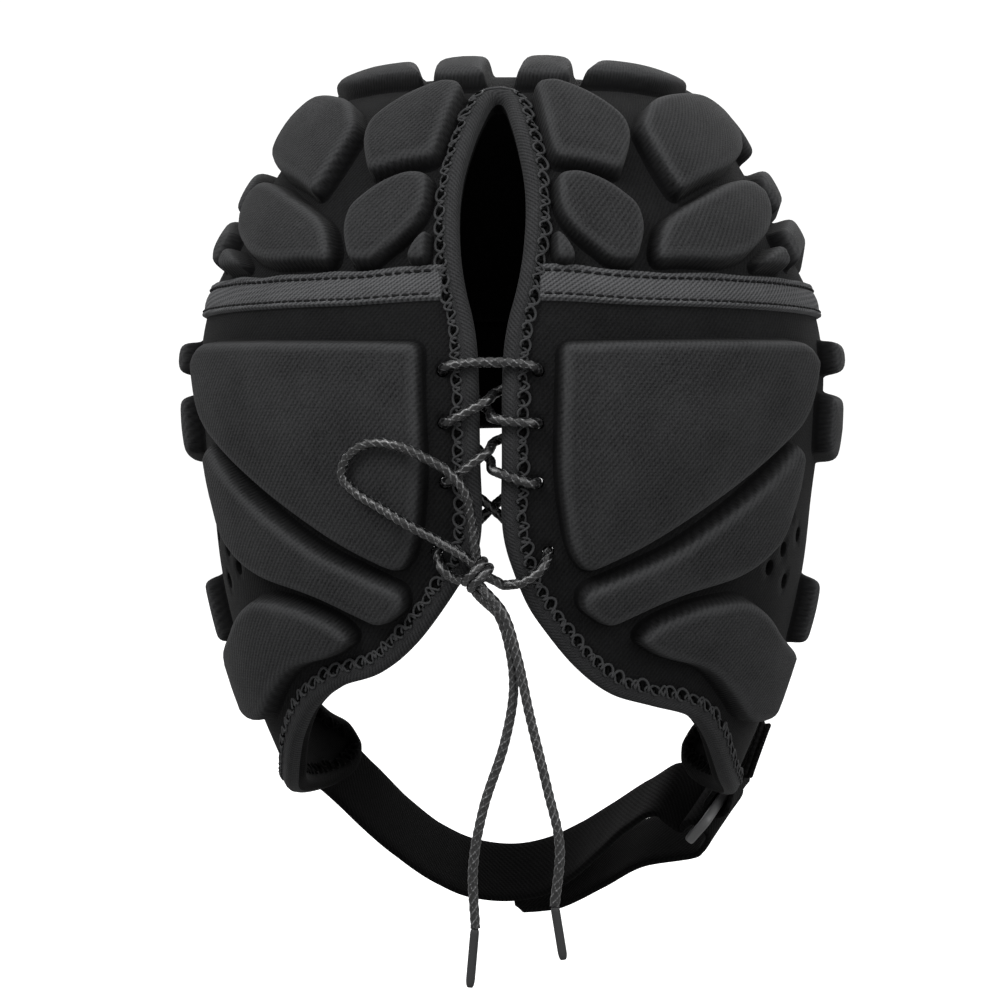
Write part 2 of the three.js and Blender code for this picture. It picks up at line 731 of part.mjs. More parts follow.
function padSolid(corners, layout) {
  const flat = corners.map(layout.to);
  const shortest = Math.min(...flat.map((p, k) => p.distanceTo(flat[(k + 1) % flat.length])));
  const outline = padOutline(flat);
  const place = (list, height) => list.map((p) => formPoint(...layout.from(p), height));
  const inner = insetOutline(outline, Math.min(PAD_EDGE, shortest * PAD_EDGE_SHARE));
  const centre = inner.reduce((sum, p) => sum.add(p), new THREE.Vector2()).multiplyScalar(1 / inner.length);
  const topHeight = SHELL + CLEARANCE + PAD_RISE;
  const rings = [place(outline, 0.5), place(inner, topHeight)];
  const reach = Math.max(...inner.map((p) => p.distanceTo(centre)));
  if (reach > 24) rings.push(place(inner.map((p) => p.clone().lerp(centre, 0.5)), topHeight + PAD_BULGE * 0.6));
  const crest = formPoint(...layout.from(centre), topHeight + PAD_BULGE);
  const root = formPoint(...layout.from(centre), 0.5);
  return loft(rings, root, crest).subtract(outerCut).simplify(SPECK);
}

// Folded edging along a path
function edgingSolid(path, inward, widths) {
  const low = -EDGING_GAP - EDGING;
  const high = SHELL + EDGING_GAP + EDGING;
  const between = (p, q) => p.map((value, k) => value + (q[k] - value) * JOIN_SHARE);
  const line = [between(path[0], path[1]), ...path.slice(1, -1), between(path.at(-1), path.at(-2))];
  const rings = line.map(([around, level], k) => {
    const [stepAround, stepLevel] = inward[k];
    const at = (width, height) => formPoint(around + stepAround * width, level + stepLevel * width, height);
    const wide = widths[k];
    return [
      at(0, high),
      at(wide, high),
      at(wide, high - EDGING),
      at(EDGING, high - EDGING),
      at(EDGING, low + EDGING),
      at(wide, low + EDGING),
      at(wide, low),
      at(0, low),
    ];
  });
  return sweep(rings, [[0, 1, 2], [0, 2, 3], [0, 3, 4], [0, 4, 7], [4, 5, 6], [4, 6, 7]]);
}

// Width of the edging, less near the tip of each tab and beside the upper slot
function edgingWidths(path) {
  return path.map(([around, level]) => {
    const side = around > 180 ? 360 - around : Math.abs(around);
    const tip = Math.hypot((side - 128.6) * 1.1, (level - 12.75) * LEVEL_STEP);
    const corner = Math.hypot((side - 4.6) * 1.6, (level - 10) * LEVEL_STEP);
    const share = Math.min(
      THREE.MathUtils.smoothstep(tip, 4, 26),
      0.4 + THREE.MathUtils.smoothstep(corner, 2, 16),
      0.1 + THREE.MathUtils.smoothstep(level, 5.8, 7.2),
    );
    return EDGING_TIP_WIDTH + (EDGING_WIDTH - EDGING_TIP_WIDTH) * share;
  });
}

// Round cord along points
function cordGeometry(points, radius, steps) {
  const shape = new THREE.Shape();
  for (let k = 0; k < 8; k += 1) {
    const angle = (2 * Math.PI * k) / 8;
    const [x, y] = [Math.cos(angle) * radius, Math.sin(angle) * radius];
    if (k === 0) shape.moveTo(x, y);
    else shape.lineTo(x, y);
  }
  const extrudePath = new THREE.CatmullRomCurve3(points);
  return new THREE.ExtrudeGeometry(shape, { steps, extrudePath, curveSegments: 1, bevelEnabled: false });
}

// Closed solid of a three.js geometry, facing out
function solidOf(geometry) {
  geometry.deleteAttribute("normal");
  geometry.deleteAttribute("uv");
  const merged = mergeVertices(geometry, 1e-4);
  const position = merged.getAttribute("position");
  const points = [];
  for (let k = 0; k < position.count; k += 1) points.push(new THREE.Vector3().fromBufferAttribute(position, k));
  const faces = [];
  const index = merged.index.array;
  for (let k = 0; k < index.length; k += 3) faces.push([index[k], index[k + 1], index[k + 2]]);
  return solid(points, faces);
}

const cord = (points, radius, steps) => solidOf(cordGeometry(points, radius, steps));

// Band of even thickness along a middle line, with its direction across at each point
function bandAlong(route, width, thickness, steps) {
  const line = new THREE.CatmullRomCurve3(route.map(([x, y, z]) => new THREE.Vector3(x, y, z)));
  const across = new THREE.CatmullRomCurve3(route.map((row) => new THREE.Vector3(row[3], row[4], row[5])));
  const share = route.map((row) => row[6]);
  const rings = [];
  for (let k = 0; k <= steps; k += 1) {
    const t = k / steps;
    const u = line.getUtoTmapping(t);
    const point = line.getPoint(u);
    const run = line.getTangent(u);
    const wide = across.getPoint(u);
    wide.addScaledVector(run, -wide.dot(run)).normalize();
    const thick = new THREE.Vector3().crossVectors(run, wide);
    const place = Math.min(u * (route.length - 1), route.length - 1.001);
    const cell = Math.floor(place);
    const part = share[cell] + (share[cell + 1] - share[cell]) * (place - cell);
    const half = (width * part) / 2;
    rings.push(
      [[1, 1], [1, -1], [-1, -1], [-1, 1]].map(([a, b]) =>
        point.clone().addScaledVector(wide, a * half).addScaledVector(thick, (b * thickness) / 2),
      ),
    );
  }
  return sweep(rings, [[0, 1, 2], [0, 2, 3]]);
}

const group = new THREE.Group();
group.name = "scrum_cap";

const colours = {
  fabric: 0x2a2a2b,
  pad: 0x313233,
  tape: 0x545556,
  edging: 0x38393a,
  lace: 0x1c1c1d,
  strap: 0x0d0d0e,
  ring: 0x4a4a4b,
};

function addPiece(name, body, colour) {
  const { vertProperties, triVerts, numProp } = body.getMesh();
  const position = new Float32Array((vertProperties.length / numProp) * 3);
  for (let k = 0; k < position.length / 3; k += 1) {
    for (let c = 0; c < 3; c += 1) position[3 * k + c] = vertProperties[numProp * k + c];
  }
  const geometry = new THREE.BufferGeometry();
  geometry.setAttribute("position", new THREE.BufferAttribute(position, 3));
  geometry.setIndex(new THREE.BufferAttribute(new Uint32Array(triVerts), 1));
  const material = new THREE.MeshStandardMaterial({ color: colour, roughness: 0.9, metalness: 0 });
  const mesh = new THREE.Mesh(geometry, material);
  mesh.name = name;
  group.add(mesh);
}

// Fabric of the cap, cut open and parted at the seam
let fabric = formSolid(SHELL).subtract(formSolid(0));
for (const cutter of [hemCutter(), slotCutter(), faceCutter()]) fabric = fabric.subtract(cutter);
const seamCut = bandSolid(SEAM_LEVEL - 0.0085, SEAM_LEVEL + 0.0085, -6, 8, -180, 180);
const seamed = fabric.subtract(seamCut).decompose();
seamed.sort((a, b) => b.volume() - a.volume());
const halves = seamed.slice(0, 2).sort((a, b) => b.boundingBox().max[2] - a.boundingBox().max[2]);
let guard = halves[1];
for (const [around, level] of HOLES) {
  for (const side of [-1, 1]) guard = guard.subtract(holeCutter(side * around, level));
}
addPiece("crown_shell", halves[0], colours.fabric);
addPiece("guard_shell", guard, colours.fabric);

// Tape over the seam, from one side of the slot to the other
const tapeLow = SHELL + CLEARANCE;
const tape = bandSolid(...TAPE_LEVELS, tapeLow, tapeLow + TAPE, TAPE_START, 360 - TAPE_START);
addPiece("seam_tape", tape, colours.tape);

addPiece("back_binding", edgingSolid(backPath, backInward, edgingWidths(backPath)), colours.edging);
addPiece("face_binding", edgingSolid(facePath, faceInward, edgingWidths(facePath)), colours.edging);

// Pads, one node on each side
for (const [list, layout] of [[CROWN_PADS, roundLayout], [GUARD_PADS, flatLayout]]) {
  for (const [name, corners] of Object.entries(list)) {
    for (const [side, word] of [[-1, "left"], [1, "right"]]) {
      const placed = corners.map(([around, level]) => [side * around, level]);
      addPiece("pad_" + name + "_" + word, padSolid(placed, layout), colours.pad);
    }
  }
}

// Lace, its knot, the free loop, the free ends and their tips
const onForm = (route) => route.map(([around, level, height]) => formPoint(around, level, height));
const inSpace = (route) => route.map(([x, y, z]) => new THREE.Vector3(x, y, z));
addPiece("lace", cord(onForm(LACE_ROUTE), LACE_RADIUS, LACE_STEPS), colours.lace);
const knot = new THREE.SphereGeometry(1, 10, 6).scale(...KNOT_HALF).translate(...KNOT);
addPiece("lace_knot", solidOf(knot), colours.lace);
addPiece("lace_loop", cord(onForm(LOOP_ROUTE), LACE_RADIUS, LOOP_STEPS), colours.lace);
addPiece("lace_end_left", cord(inSpace(END_LEFT_ROUTE), LACE_RADIUS, END_STEPS), colours.lace);
addPiece("lace_end_right", cord(inSpace(END_RIGHT_ROUTE), LACE_RADIUS, END_STEPS), colours.lace);
addPiece("aglet_left", cord(inSpace(AGLET_LEFT), AGLET_RADIUS, 2), colours.lace);
addPiece("aglet_right", cord(inSpace(AGLET_RIGHT), AGLET_RADIUS, 2), colours.lace);

// Place on a tab with the direction across a band that lies flat there
function onTab([around, level], raise, direction) {
  const normal = faceNormal(around, level);
  const flat = new THREE.Vector3(...direction).addScaledVector(normal, -normal.dot(new THREE.Vector3(...direction)));
  return [...smoothPoint(around, level, raise), ...flat.normalize(), 1];
}

// Chin strap and its ring
const along = new THREE.Vector3(...RING_ALONG).normalize();
const across = new THREE.Vector3(...RING_ACROSS);
across.addScaledVector(along, -across.dot(along)).normalize();
const facing = new THREE.Vector3().crossVectors(along, across);
const byRing = (middle, f, a) => middle.clone().addScaledVector(facing, f).addScaledVector(across, a);
const lowerBar = new THREE.Vector3(...RING_MIDDLE);
const strapTurn = STRAP_TURN.map(([f, a]) => [...byRing(lowerBar, f, a), ...along, 1]);
const strapStart = STRAP_START.map((place) => onTab(place, STRAP_RAISE, [0.1, 0.74, 0.66]));
addPiece("chin_strap", bandAlong([...strapStart, ...STRAP_ROUTE, ...strapTurn, ...STRAP_RETURN], STRAP_WIDTH, STRAP_THICKNESS, STRAP_STEPS), colours.strap);

const ringShape = new THREE.Shape();
const outerHalf = [RING_OPENING / 2 + RING_BAR, RING_BAR / 2];
ringShape.moveTo(-outerHalf[0], -outerHalf[1] - RING_SPACING);
ringShape.lineTo(outerHalf[0], -outerHalf[1] - RING_SPACING);
ringShape.lineTo(outerHalf[0], outerHalf[1]);
ringShape.lineTo(-outerHalf[0], outerHalf[1]);
const ringHole = new THREE.Path();
ringHole.moveTo(-RING_OPENING / 2, RING_BAR / 2 - RING_SPACING);
ringHole.lineTo(-RING_OPENING / 2, -RING_BAR / 2);
ringHole.lineTo(RING_OPENING / 2, -RING_BAR / 2);
ringHole.lineTo(RING_OPENING / 2, RING_BAR / 2 - RING_SPACING);
ringShape.holes.push(ringHole);
const ring = new THREE.ExtrudeGeometry(ringShape, { depth: RING_BAR, bevelEnabled: false });
ring.translate(0, 0, -RING_BAR / 2);
const ringPlace = new THREE.Matrix4().makeBasis(along, across, facing).setPosition(...RING_MIDDLE);
addPiece("strap_ring", solidOf(ring.applyMatrix4(ringPlace)), colours.ring);

// Keeper webbing, from the right tab round the upper bar and back
const upperBar = byRing(lowerBar, 0, -RING_SPACING);
const reach = RING_BAR / 2 + CLEARANCE + KEEPER_THICKNESS / 2 + 0.8;
const turns = [
  [1, -0.5], [0.9, 0.3], [0.62, 0.82], [0, 1.08], [-0.62, 0.82], [-0.9, 0.3], [-1, -0.5],
];
const keeperTurn = turns.map(([f, a]) => [...byRing(upperBar, f * reach, a * reach), ...along, 1]);
const upwards = [0.1, 0.6, 0.8];
const keeperIn = KEEPER_PLACES.map((place) => onTab(place, KEEPER_RAISE, upwards));
const keeperOut = KEEPER_PLACES.map((place) => onTab(place, KEEPER_RAISE + KEEPER_THICKNESS + 0.6, upwards)).reverse();
const keeperRoute = [...keeperIn, ...keeperTurn, ...keeperOut];
addPiece("strap_keeper", bandAlong(keeperRoute, KEEPER_WIDTH, KEEPER_THICKNESS, 24), colours.strap);

export default group;
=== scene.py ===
import math

import bpy
import numpy as np
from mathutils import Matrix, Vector, geometry, kdtree, noise


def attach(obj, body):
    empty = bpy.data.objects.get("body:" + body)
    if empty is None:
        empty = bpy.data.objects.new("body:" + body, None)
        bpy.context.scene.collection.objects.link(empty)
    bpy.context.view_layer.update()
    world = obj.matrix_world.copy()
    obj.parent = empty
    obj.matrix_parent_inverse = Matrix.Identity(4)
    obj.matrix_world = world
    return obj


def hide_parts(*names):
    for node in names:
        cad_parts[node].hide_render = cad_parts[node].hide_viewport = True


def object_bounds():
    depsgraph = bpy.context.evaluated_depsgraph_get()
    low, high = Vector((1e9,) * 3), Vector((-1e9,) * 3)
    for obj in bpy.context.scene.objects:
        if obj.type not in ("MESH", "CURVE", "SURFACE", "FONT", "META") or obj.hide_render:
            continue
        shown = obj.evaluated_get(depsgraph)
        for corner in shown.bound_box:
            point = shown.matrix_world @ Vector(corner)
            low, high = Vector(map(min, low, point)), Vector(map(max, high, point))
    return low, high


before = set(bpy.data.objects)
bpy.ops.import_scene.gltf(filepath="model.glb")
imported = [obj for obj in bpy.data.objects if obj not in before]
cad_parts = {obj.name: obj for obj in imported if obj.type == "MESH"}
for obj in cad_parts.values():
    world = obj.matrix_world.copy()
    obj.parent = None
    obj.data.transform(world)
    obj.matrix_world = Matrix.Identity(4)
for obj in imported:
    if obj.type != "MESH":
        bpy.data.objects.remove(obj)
cad_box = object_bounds()
MM = 0.001


def put(name, data):
    """Object of some data, in the scene."""
    obj = bpy.data.objects.new(name, data)
    bpy.context.scene.collection.objects.link(obj)
    return obj


# Camera: from behind, a little to the wearer's right, at the middle of the cap's height
CAMERA_TURN = math.radians(3.5)
CAMERA_DISTANCE = 1.2
SIDE_SHARE = -0.00384
AIM_HEIGHT = -0.1205
LENS = 146.4
SENSOR_WIDTH = 36
NEAREST = 0.05
right = Vector((math.cos(CAMERA_TURN), math.sin(CAMERA_TURN), 0))
away = Vector((-math.sin(CAMERA_TURN), math.cos(CAMERA_TURN), 0))
aim = right * SIDE_SHARE + Vector((0, 0, AIM_HEIGHT))
camera_data = bpy.data.cameras.new("camera")
camera_data.lens = LENS
camera_data.sensor_width = SENSOR_WIDTH
camera_data.sensor_fit = "HORIZONTAL"
camera_data.clip_start = NEAREST
camera = put("camera", camera_data)
camera.location = aim - away * CAMERA_DISTANCE
camera.rotation_euler = away.to_track_quat("-Z", "Y").to_euler()
bpy.context.scene.camera = camera

# Sizes in millimetres, as in the solids
HALF_WIDTH, LENGTH_BACK, LENGTH_FRONT, LEVEL_STEP = 88, 103, 102, 20
EGG = 0.04
DEGREE_LENGTH = 1.6
SHELL = 3
SEAM_LEVEL = 6.1
HEM_DROP = 2.8
EDGING_WIDTH, EDGING_TIP_WIDTH = 5, 4.2
TAPE_START = 9.8
LACE_RADIUS = 1.4
STRAP_WIDTH = 25
STRAP_THICKNESS = 2
RING_BAR = 3
RING_SPACING = 11
RING_OPENING = STRAP_WIDTH + 2.6
# Steps, in degrees and levels, between the places that a direction or a scale is taken from
SLOPE_AROUND, SLOPE_LEVEL = 0.1, 1e-3
SCALE_AROUND, SCALE_LEVEL = 0.5, 0.05
LEAST_LEVEL = 0.02
# Samples between two points of a smooth line, while its length is measured
SAMPLES = 60
# Rows of the form: level, and shares of the half width and of the two lengths
FORM = [
    [0, 0, 0, 0], [0.06, 0.25, 0.233, 0.235], [0.24, 0.494, 0.466, 0.471], [0.65, 0.636, 0.67, 0.676],
    [1.35, 0.744, 0.816, 0.833], [2.2, 0.852, 0.913, 0.931], [3.1, 0.959, 0.971, 0.985], [4, 1, 1, 1],
    [5, 0.989, 0.995, 0.985], [6, 0.96, 0.961, 0.951], [7, 0.932, 0.903, 0.902], [8, 0.881, 0.835, 0.843],
    [9, 0.8125, 0.748, 0.755], [10, 0.716, 0.65, 0.696], [10.75, 0.648, 0.573, 0.627],
]
rows = np.array(FORM) * [LEVEL_STEP, HALF_WIDTH, LENGTH_BACK, LENGTH_FRONT]
framed = np.vstack([rows[1] * [1, -1, -1, -1], rows, 2 * rows[-1] - rows[-2]])


def even(v):
    """Vectors of length one along the last axis."""
    return v / np.linalg.norm(v, axis=-1, keepdims=True)


def lengths_along(points):
    """How far along a line each of its points is."""
    return np.concatenate([[0], np.cumsum(np.linalg.norm(np.diff(points, axis=0), axis=1))])


def face_point(around, level):
    """Points of the inner face, as a smooth form through the rows."""
    level = np.asarray(level, float)
    i = np.clip(np.floor(level).astype(int), 0, len(rows) - 2)
    t = (level - i)[..., None]
    a, b, c, d = framed[i], framed[i + 1], framed[i + 2], framed[i + 3]
    row = 0.5 * (2 * b + (c - a) * t + (2 * a - 5 * b + 4 * c - d) * t**2 + (3 * b - a - 3 * c + d) * t**3)
    s, c = np.sin(np.radians(around)), np.cos(np.radians(around))
    length = np.where(c > 0, row[..., 2], row[..., 3])
    return np.stack([row[..., 1] * s * (1 + EGG * c), -length * c, -row[..., 0]], -1)


def face_normal(around, level):
    """Direction out of the inner face."""
    around, level = np.asarray(around, float), np.maximum(level, LEAST_LEVEL)
    across = face_point(around + SLOPE_AROUND, level) - face_point(around - SLOPE_AROUND, level)
    below = face_point(around, level + SLOPE_LEVEL) - face_point(around, level - SLOPE_LEVEL)
    return even(np.cross(below, across))


def on_form(around, level, height):
    """Points at a height over the inner face."""
    height = np.asarray(height, float)[..., None]
    return face_point(np.asarray(around, float), level) + face_normal(around, level) * height


def local_scale(around, level):
    """Millimetres for one degree around and for one level."""
    around, level = np.asarray(around, float), np.asarray(level, float)
    across = face_point(around + SCALE_AROUND, level) - face_point(around - SCALE_AROUND, level)
    down = face_point(around, level + SCALE_LEVEL) - face_point(around, level - SCALE_LEVEL)
    return np.linalg.norm(across, axis=-1), np.linalg.norm(down, axis=-1) * (1 / (2 * SCALE_LEVEL))


def spline(points, spacing, uniform=False):
    """Smooth line through points, with its places evenly spaced, and how far along the list each one is."""
    points = np.asarray(points, float)
    n = len(points) - 1
    if uniform:
        ext = np.vstack([points[:1], points, points[-1:]])
    else:
        ext = np.vstack([2 * points[:1] - points[1:2], points, 2 * points[-1:] - points[-2:-1]])

    def at(u):
        cell = np.clip(np.floor(u).astype(int), 0, n - 1)
        t = (u - cell)[:, None]
        p0, p1, p2, p3 = (ext[cell + k] for k in range(4))
        if uniform:
            a = b = c = 1.0
        else:
            a, b, c = (
                np.maximum(np.sqrt(np.linalg.norm(q - p, axis=1, keepdims=True)), 1e-3)
                for p, q in ((p0, p1), (p1, p2), (p2, p3))
            )
        t1 = ((p1 - p0) / a - (p2 - p0) / (a + b) + (p2 - p1) / b) * b
        t2 = ((p2 - p1) / b - (p3 - p1) / (b + c) + (p3 - p2) / c) * b
        return p1 + t1 * t + (3 * (p2 - p1) - 2 * t1 - t2) * t**2 + (2 * (p1 - p2) + t1 + t2) * t**3

    u = np.linspace(0, n, SAMPLES * n + 1)
    fine = at(u)
    run = lengths_along(fine)
    steps = max(2, int(round(run[-1] / spacing)))
    places = np.interp(np.linspace(0, run[-1], steps + 1), run, u)
    return at(places), places


# Materials: roughness of cloth, and how much light cloth and plastic throw back
CLOTH_ROUGHNESS = 0.95
CLOTH_SPECULAR = 0.06
PLASTIC_SPECULAR = 0.5
SHEEN_ROUGHNESS = 0.4
BUMP_DEPTH = 0.00012
BUMP_STRENGTH = 0.9
# Knit: slant of its ribs, shares of ribs and loops, and scale, detail and roughness of grain and patches
RIB_LEAN, RIB_SHARE, LOOP_SHARE, PATCH_SHARE = 0.8, 0.6, 0.4, 0.5
GRAIN, PATCH = (1.6, 3, 0.75), (0.06, 3, 0.55)
# Millimetres in from a pad's outline over which its rim gets lighter and darker, as a painted highlight, and
# its walls darken, as painted shade
RIM_HIGHLIGHT_RISE, RIM_HIGHLIGHT_FALL, WALL_SHADE_FADE = (0.2, 1.2), (1.6, 3.6), (-0.3, 1.0)
RIB_BUMP, GRAIN_BUMP = 0.5, 1.2


def material(name, base, rough, sheen=0.0):
    m = bpy.data.materials.new(name)
    m.use_nodes = True
    tree = m.node_tree
    shader = tree.nodes["Principled BSDF"]
    shader.inputs["Base Color"].default_value = (*base, 1)
    shader.inputs["Roughness"].default_value = rough
    shader.inputs["Specular IOR Level"].default_value = CLOTH_SPECULAR
    shader.inputs["Sheen Weight"].default_value = sheen
    shader.inputs["Sheen Roughness"].default_value = SHEEN_ROUGHNESS
    shader.inputs["Sheen Tint"].default_value = (1, 1, 1, 1)
    return m, tree, shader


def parted(tree, vector):
    """The three parts of a vector."""
    n = tree.nodes.new("ShaderNodeSeparateXYZ")
    tree.links.new(vector, n.inputs[0])
    return n.outputs


def cloth_of(tree):
    """Place on the cloth in millimetres, and how far in from the outline it is."""
    n = tree.nodes.new("ShaderNodeAttribute")
    n.attribute_name = "cloth"
    return n.outputs["Vector"]


def math_node(tree, operation, a, b=None, clamp=False):
    n = tree.nodes.new("ShaderNodeMath")
    n.operation = operation
    n.use_clamp = clamp
    for k, value in enumerate((a, b)):
        if value is None:
            continue
        if isinstance(value, (int, float)):
            n.inputs[k].default_value = value
        else:
            tree.links.new(value, n.inputs[k])
    return n.outputs[0]


def ranged(tree, value, low, high, to_low, to_high):
    n = tree.nodes.new("ShaderNodeMapRange")
    tree.links.new(value, n.inputs["Value"])
    for key, number in (("From Min", low), ("From Max", high), ("To Min", to_low), ("To Max", to_high)):
        n.inputs[key].default_value = number
    return n.outputs["Result"]


def noise_of(tree, vector, scale, detail, rough):
    n = tree.nodes.new("ShaderNodeTexNoise")
    tree.links.new(vector, n.inputs["Vector"])
    n.inputs["Scale"].default_value = scale
    n.inputs["Detail"].default_value = detail
    n.inputs["Roughness"].default_value = rough
    return n.outputs["Fac"]


def shaded(tree, shader, factor, dark, light):
    """Base colour between a dark and a light one."""
    mix = tree.nodes.new("ShaderNodeMix")
    mix.data_type = "RGBA"
    tree.links.new(factor, mix.inputs["Factor"])
    mix.inputs["A"].default_value = (*dark, 1)
    mix.inputs["B"].default_value = (*light, 1)
    tree.links.new(mix.outputs["Result"], shader.inputs["Base Color"])


def bumped(tree, shader, height):
    n = tree.nodes.new("ShaderNodeBump")
    n.inputs["Strength"].default_value = BUMP_STRENGTH
    n.inputs["Distance"].default_value = BUMP_DEPTH
    tree.links.new(height, n.inputs["Height"])
    tree.links.new(n.outputs["Normal"], shader.inputs["Normal"])


def knit(name, dark, light, pitch, weave, fuzz, rim, sheen):
    """Knitted cloth: slanted ribs of a pitch in millimetres, fuzz, a painted highlight along rims, and
    painted shade on walls and undersides.
    """
    m, tree, shader = material(name, light, CLOTH_ROUGHNESS, sheen)

    def product(a, b):
        return math_node(tree, "MULTIPLY", a, b)

    def total(a, b):
        return math_node(tree, "ADD", a, b)

    def centred(value):
        return math_node(tree, "SUBTRACT", value, 0.5)

    cloth = cloth_of(tree)
    u, v, inset = parted(tree, cloth)
    turns = 2 * math.pi / pitch
    rib = math_node(tree, "SINE", total(product(u, turns), product(v, turns * RIB_LEAN)))
    cross = math_node(tree, "SINE", math_node(tree, "SUBTRACT", product(v, turns), product(u, turns)))
    ribs = total(product(rib, RIB_SHARE), product(product(rib, cross), LOOP_SHARE))
    grain = noise_of(tree, cloth, *GRAIN)
    patch = noise_of(tree, cloth, *PATCH)
    mix = total(product(ribs, weave), product(centred(grain), fuzz))
    mix = total(total(mix, product(centred(patch), PATCH_SHARE)), 0.5)
    if rim:
        # Painted highlight: a band just inside a pad's outline is made lighter, standing for light caught
        # along its rim
        edge = product(ranged(tree, inset, *RIM_HIGHLIGHT_RISE, 0, 1), ranged(tree, inset, *RIM_HIGHLIGHT_FALL, 1, 0))
        mix = total(mix, product(edge, rim))
    # Painted shade: the colour goes to the dark one on a pad's walls and underside, standing for shade there
    wall_shade = ranged(tree, inset, *WALL_SHADE_FADE, 0, 1)
    shaded(tree, shader, math_node(tree, "MULTIPLY", mix, wall_shade, clamp=True), dark, light)
    bumped(tree, shader, total(product(ribs, RIB_BUMP), product(grain, GRAIN_BUMP)))
    return m


# Dark and light colour, pitch, share of the weave, of the fuzz and of the painted rim highlight, and sheen
PAD = knit("pad_knit", (0.003, 0.003, 0.0032), (0.036, 0.0364, 0.0375), 1.5, 0.22, 1.3, 0.35, 0.03)
# The shell knit is the pad's cloth in darker colours: painted shade for the grooves between the pads
SHELL_KNIT_SHADED = knit("shell_knit_painted_shade", (0.002, 0.002, 0.0021), (0.012, 0.0121, 0.0125), 1.5, 0.2, 1.2, 0, 0.02)
LINING = knit("lining", (0.0006, 0.0006, 0.0006), (0.003, 0.003, 0.0031), 1.4, 0.2, 0.8, 0, 0.0)
TAPE_KNIT = knit("tape_knit", (0.018, 0.0182, 0.019), (0.092, 0.093, 0.096), 1.7, 0.5, 0.7, 0, 0.05)
EDGE_KNIT = knit("edging_knit", (0.007, 0.0071, 0.0074), (0.036, 0.0364, 0.0375), 1.2, 0.35, 0.9, 0, 0.03)
THREAD = material("thread", (0.035, 0.0354, 0.0365), 0.6, 0.03)[0]
TAPE_THREAD = material("tape_thread", (0.008, 0.0081, 0.0084), 0.6)[0]
STRAP = knit("strap_webbing", (0.0006, 0.0006, 0.0006), (0.005, 0.005, 0.0052), 1.6, 0.5, 0.6, 0, 0.01)
RING = material("ring_plastic", (0.07, 0.0705, 0.072), 0.45)[0]
TIP = material("aglet_plastic", (0.03, 0.0303, 0.031), 0.25)[0]
RING.node_tree.nodes["Principled BSDF"].inputs["Specular IOR Level"].default_value = PLASTIC_SPECULAR


def lace_material():
    """Braid with painted glints: light flecks painted into the base colour along its ridges."""
    m, tree, shader = material("lace_braid", (0.02, 0.02, 0.021), 0.32)
    shader.inputs["Specular IOR Level"].default_value = PLASTIC_SPECULAR
    cloth = cloth_of(tree)
    glint_fleck = noise_of(tree, cloth, 1.1, 2, 0.7)
    # Painted highlight: the base colour turns light on the braid's ridges where the noise allows, standing
    # for glints
    high = ranged(tree, parted(tree, cloth)[2], 0.55, 1.0, 0.0, 0.9)
    mix = math_node(tree, "MULTIPLY", high, ranged(tree, glint_fleck, 0.42, 0.66, 0.0, 1.3), clamp=True)
    shaded(tree, shader, mix, (0.004, 0.004, 0.0042), (0.22, 0.222, 0.226))
    return m


LACE = lace_material()


# Meshes: distance in given to cloth that has neither painted rim highlight nor painted shade on walls, and
# sides, spacing and braid of cords
FAR_IN = 9.0
CORD_SIDES = 16
CORD_SPACING = 0.42
BRAID_TURN = 5.2
BRAID_SHARE = 0.1


def piece(name, shape, mat, stands=True):
    """Smooth mesh from points in millimetres, faces and places on the cloth, for the solid of its name."""
    verts, faces, cloth = shape
    mesh = bpy.data.meshes.new(name)
    mesh.from_pydata((np.asarray(verts) * MM).tolist(), [], [list(map(int, f)) for f in faces])
    mesh.polygons.foreach_set("use_smooth", [True] * len(mesh.polygons))
    for m in mat if isinstance(mat, list) else [mat]:
        mesh.materials.append(m)
    layer = mesh.attributes.new("cloth", "FLOAT_VECTOR", "POINT")
    layer.data.foreach_set("vector", np.asarray(cloth, np.float32).ravel())
    mesh.update()
    obj = put(name, mesh)
    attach(obj, "root")
    if stands:
        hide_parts(name)
    return obj


def cloth_grid(down, across):
    """Places on the cloth for rings of points, by their lengths down and across it."""
    places = np.meshgrid(down, across, indexing="ij")
    return np.stack([*places, np.full(places[0].shape, FAR_IN)], -1).reshape(-1, 3)


def joined(parts):
    """Several (verts, faces, cloth) as one."""
    verts, faces, cloth, base = [], [], [], 0
    for v, f, c in parts:
        verts.append(v)
        cloth.append(c)
        faces.extend([[int(k) + base for k in face] for face in f])
        base += len(v)
    return np.vstack(verts), faces, np.vstack(cloth)


def frames_along(line):
    """Tangent and two directions across it, without twist, at each place."""
    tangent = even(np.gradient(line, axis=0))
    first = np.zeros_like(line)
    start = np.cross(tangent[0], [0.3, 0.2, 1.0])
    first[0] = start / np.linalg.norm(start)
    for k in range(1, len(line)):
        a = first[k - 1] - tangent[k] * np.dot(first[k - 1], tangent[k])
        first[k] = a / np.linalg.norm(a)
    return tangent, first, np.cross(tangent, first)


def ring_faces(rings, count, closed=False):
    """Faces between rings of points, with a cap on each end of an open row of rings."""
    faces = []
    for r in range(rings if closed else rings - 1):
        s = (r + 1) % rings
        for k in range(count):
            n = (k + 1) % count
            faces.append([r * count + k, r * count + n, s * count + n, s * count + k])
    if not closed:
        faces.append(list(range(count))[::-1])
        faces.append([(rings - 1) * count + k for k in range(count)])
    return faces


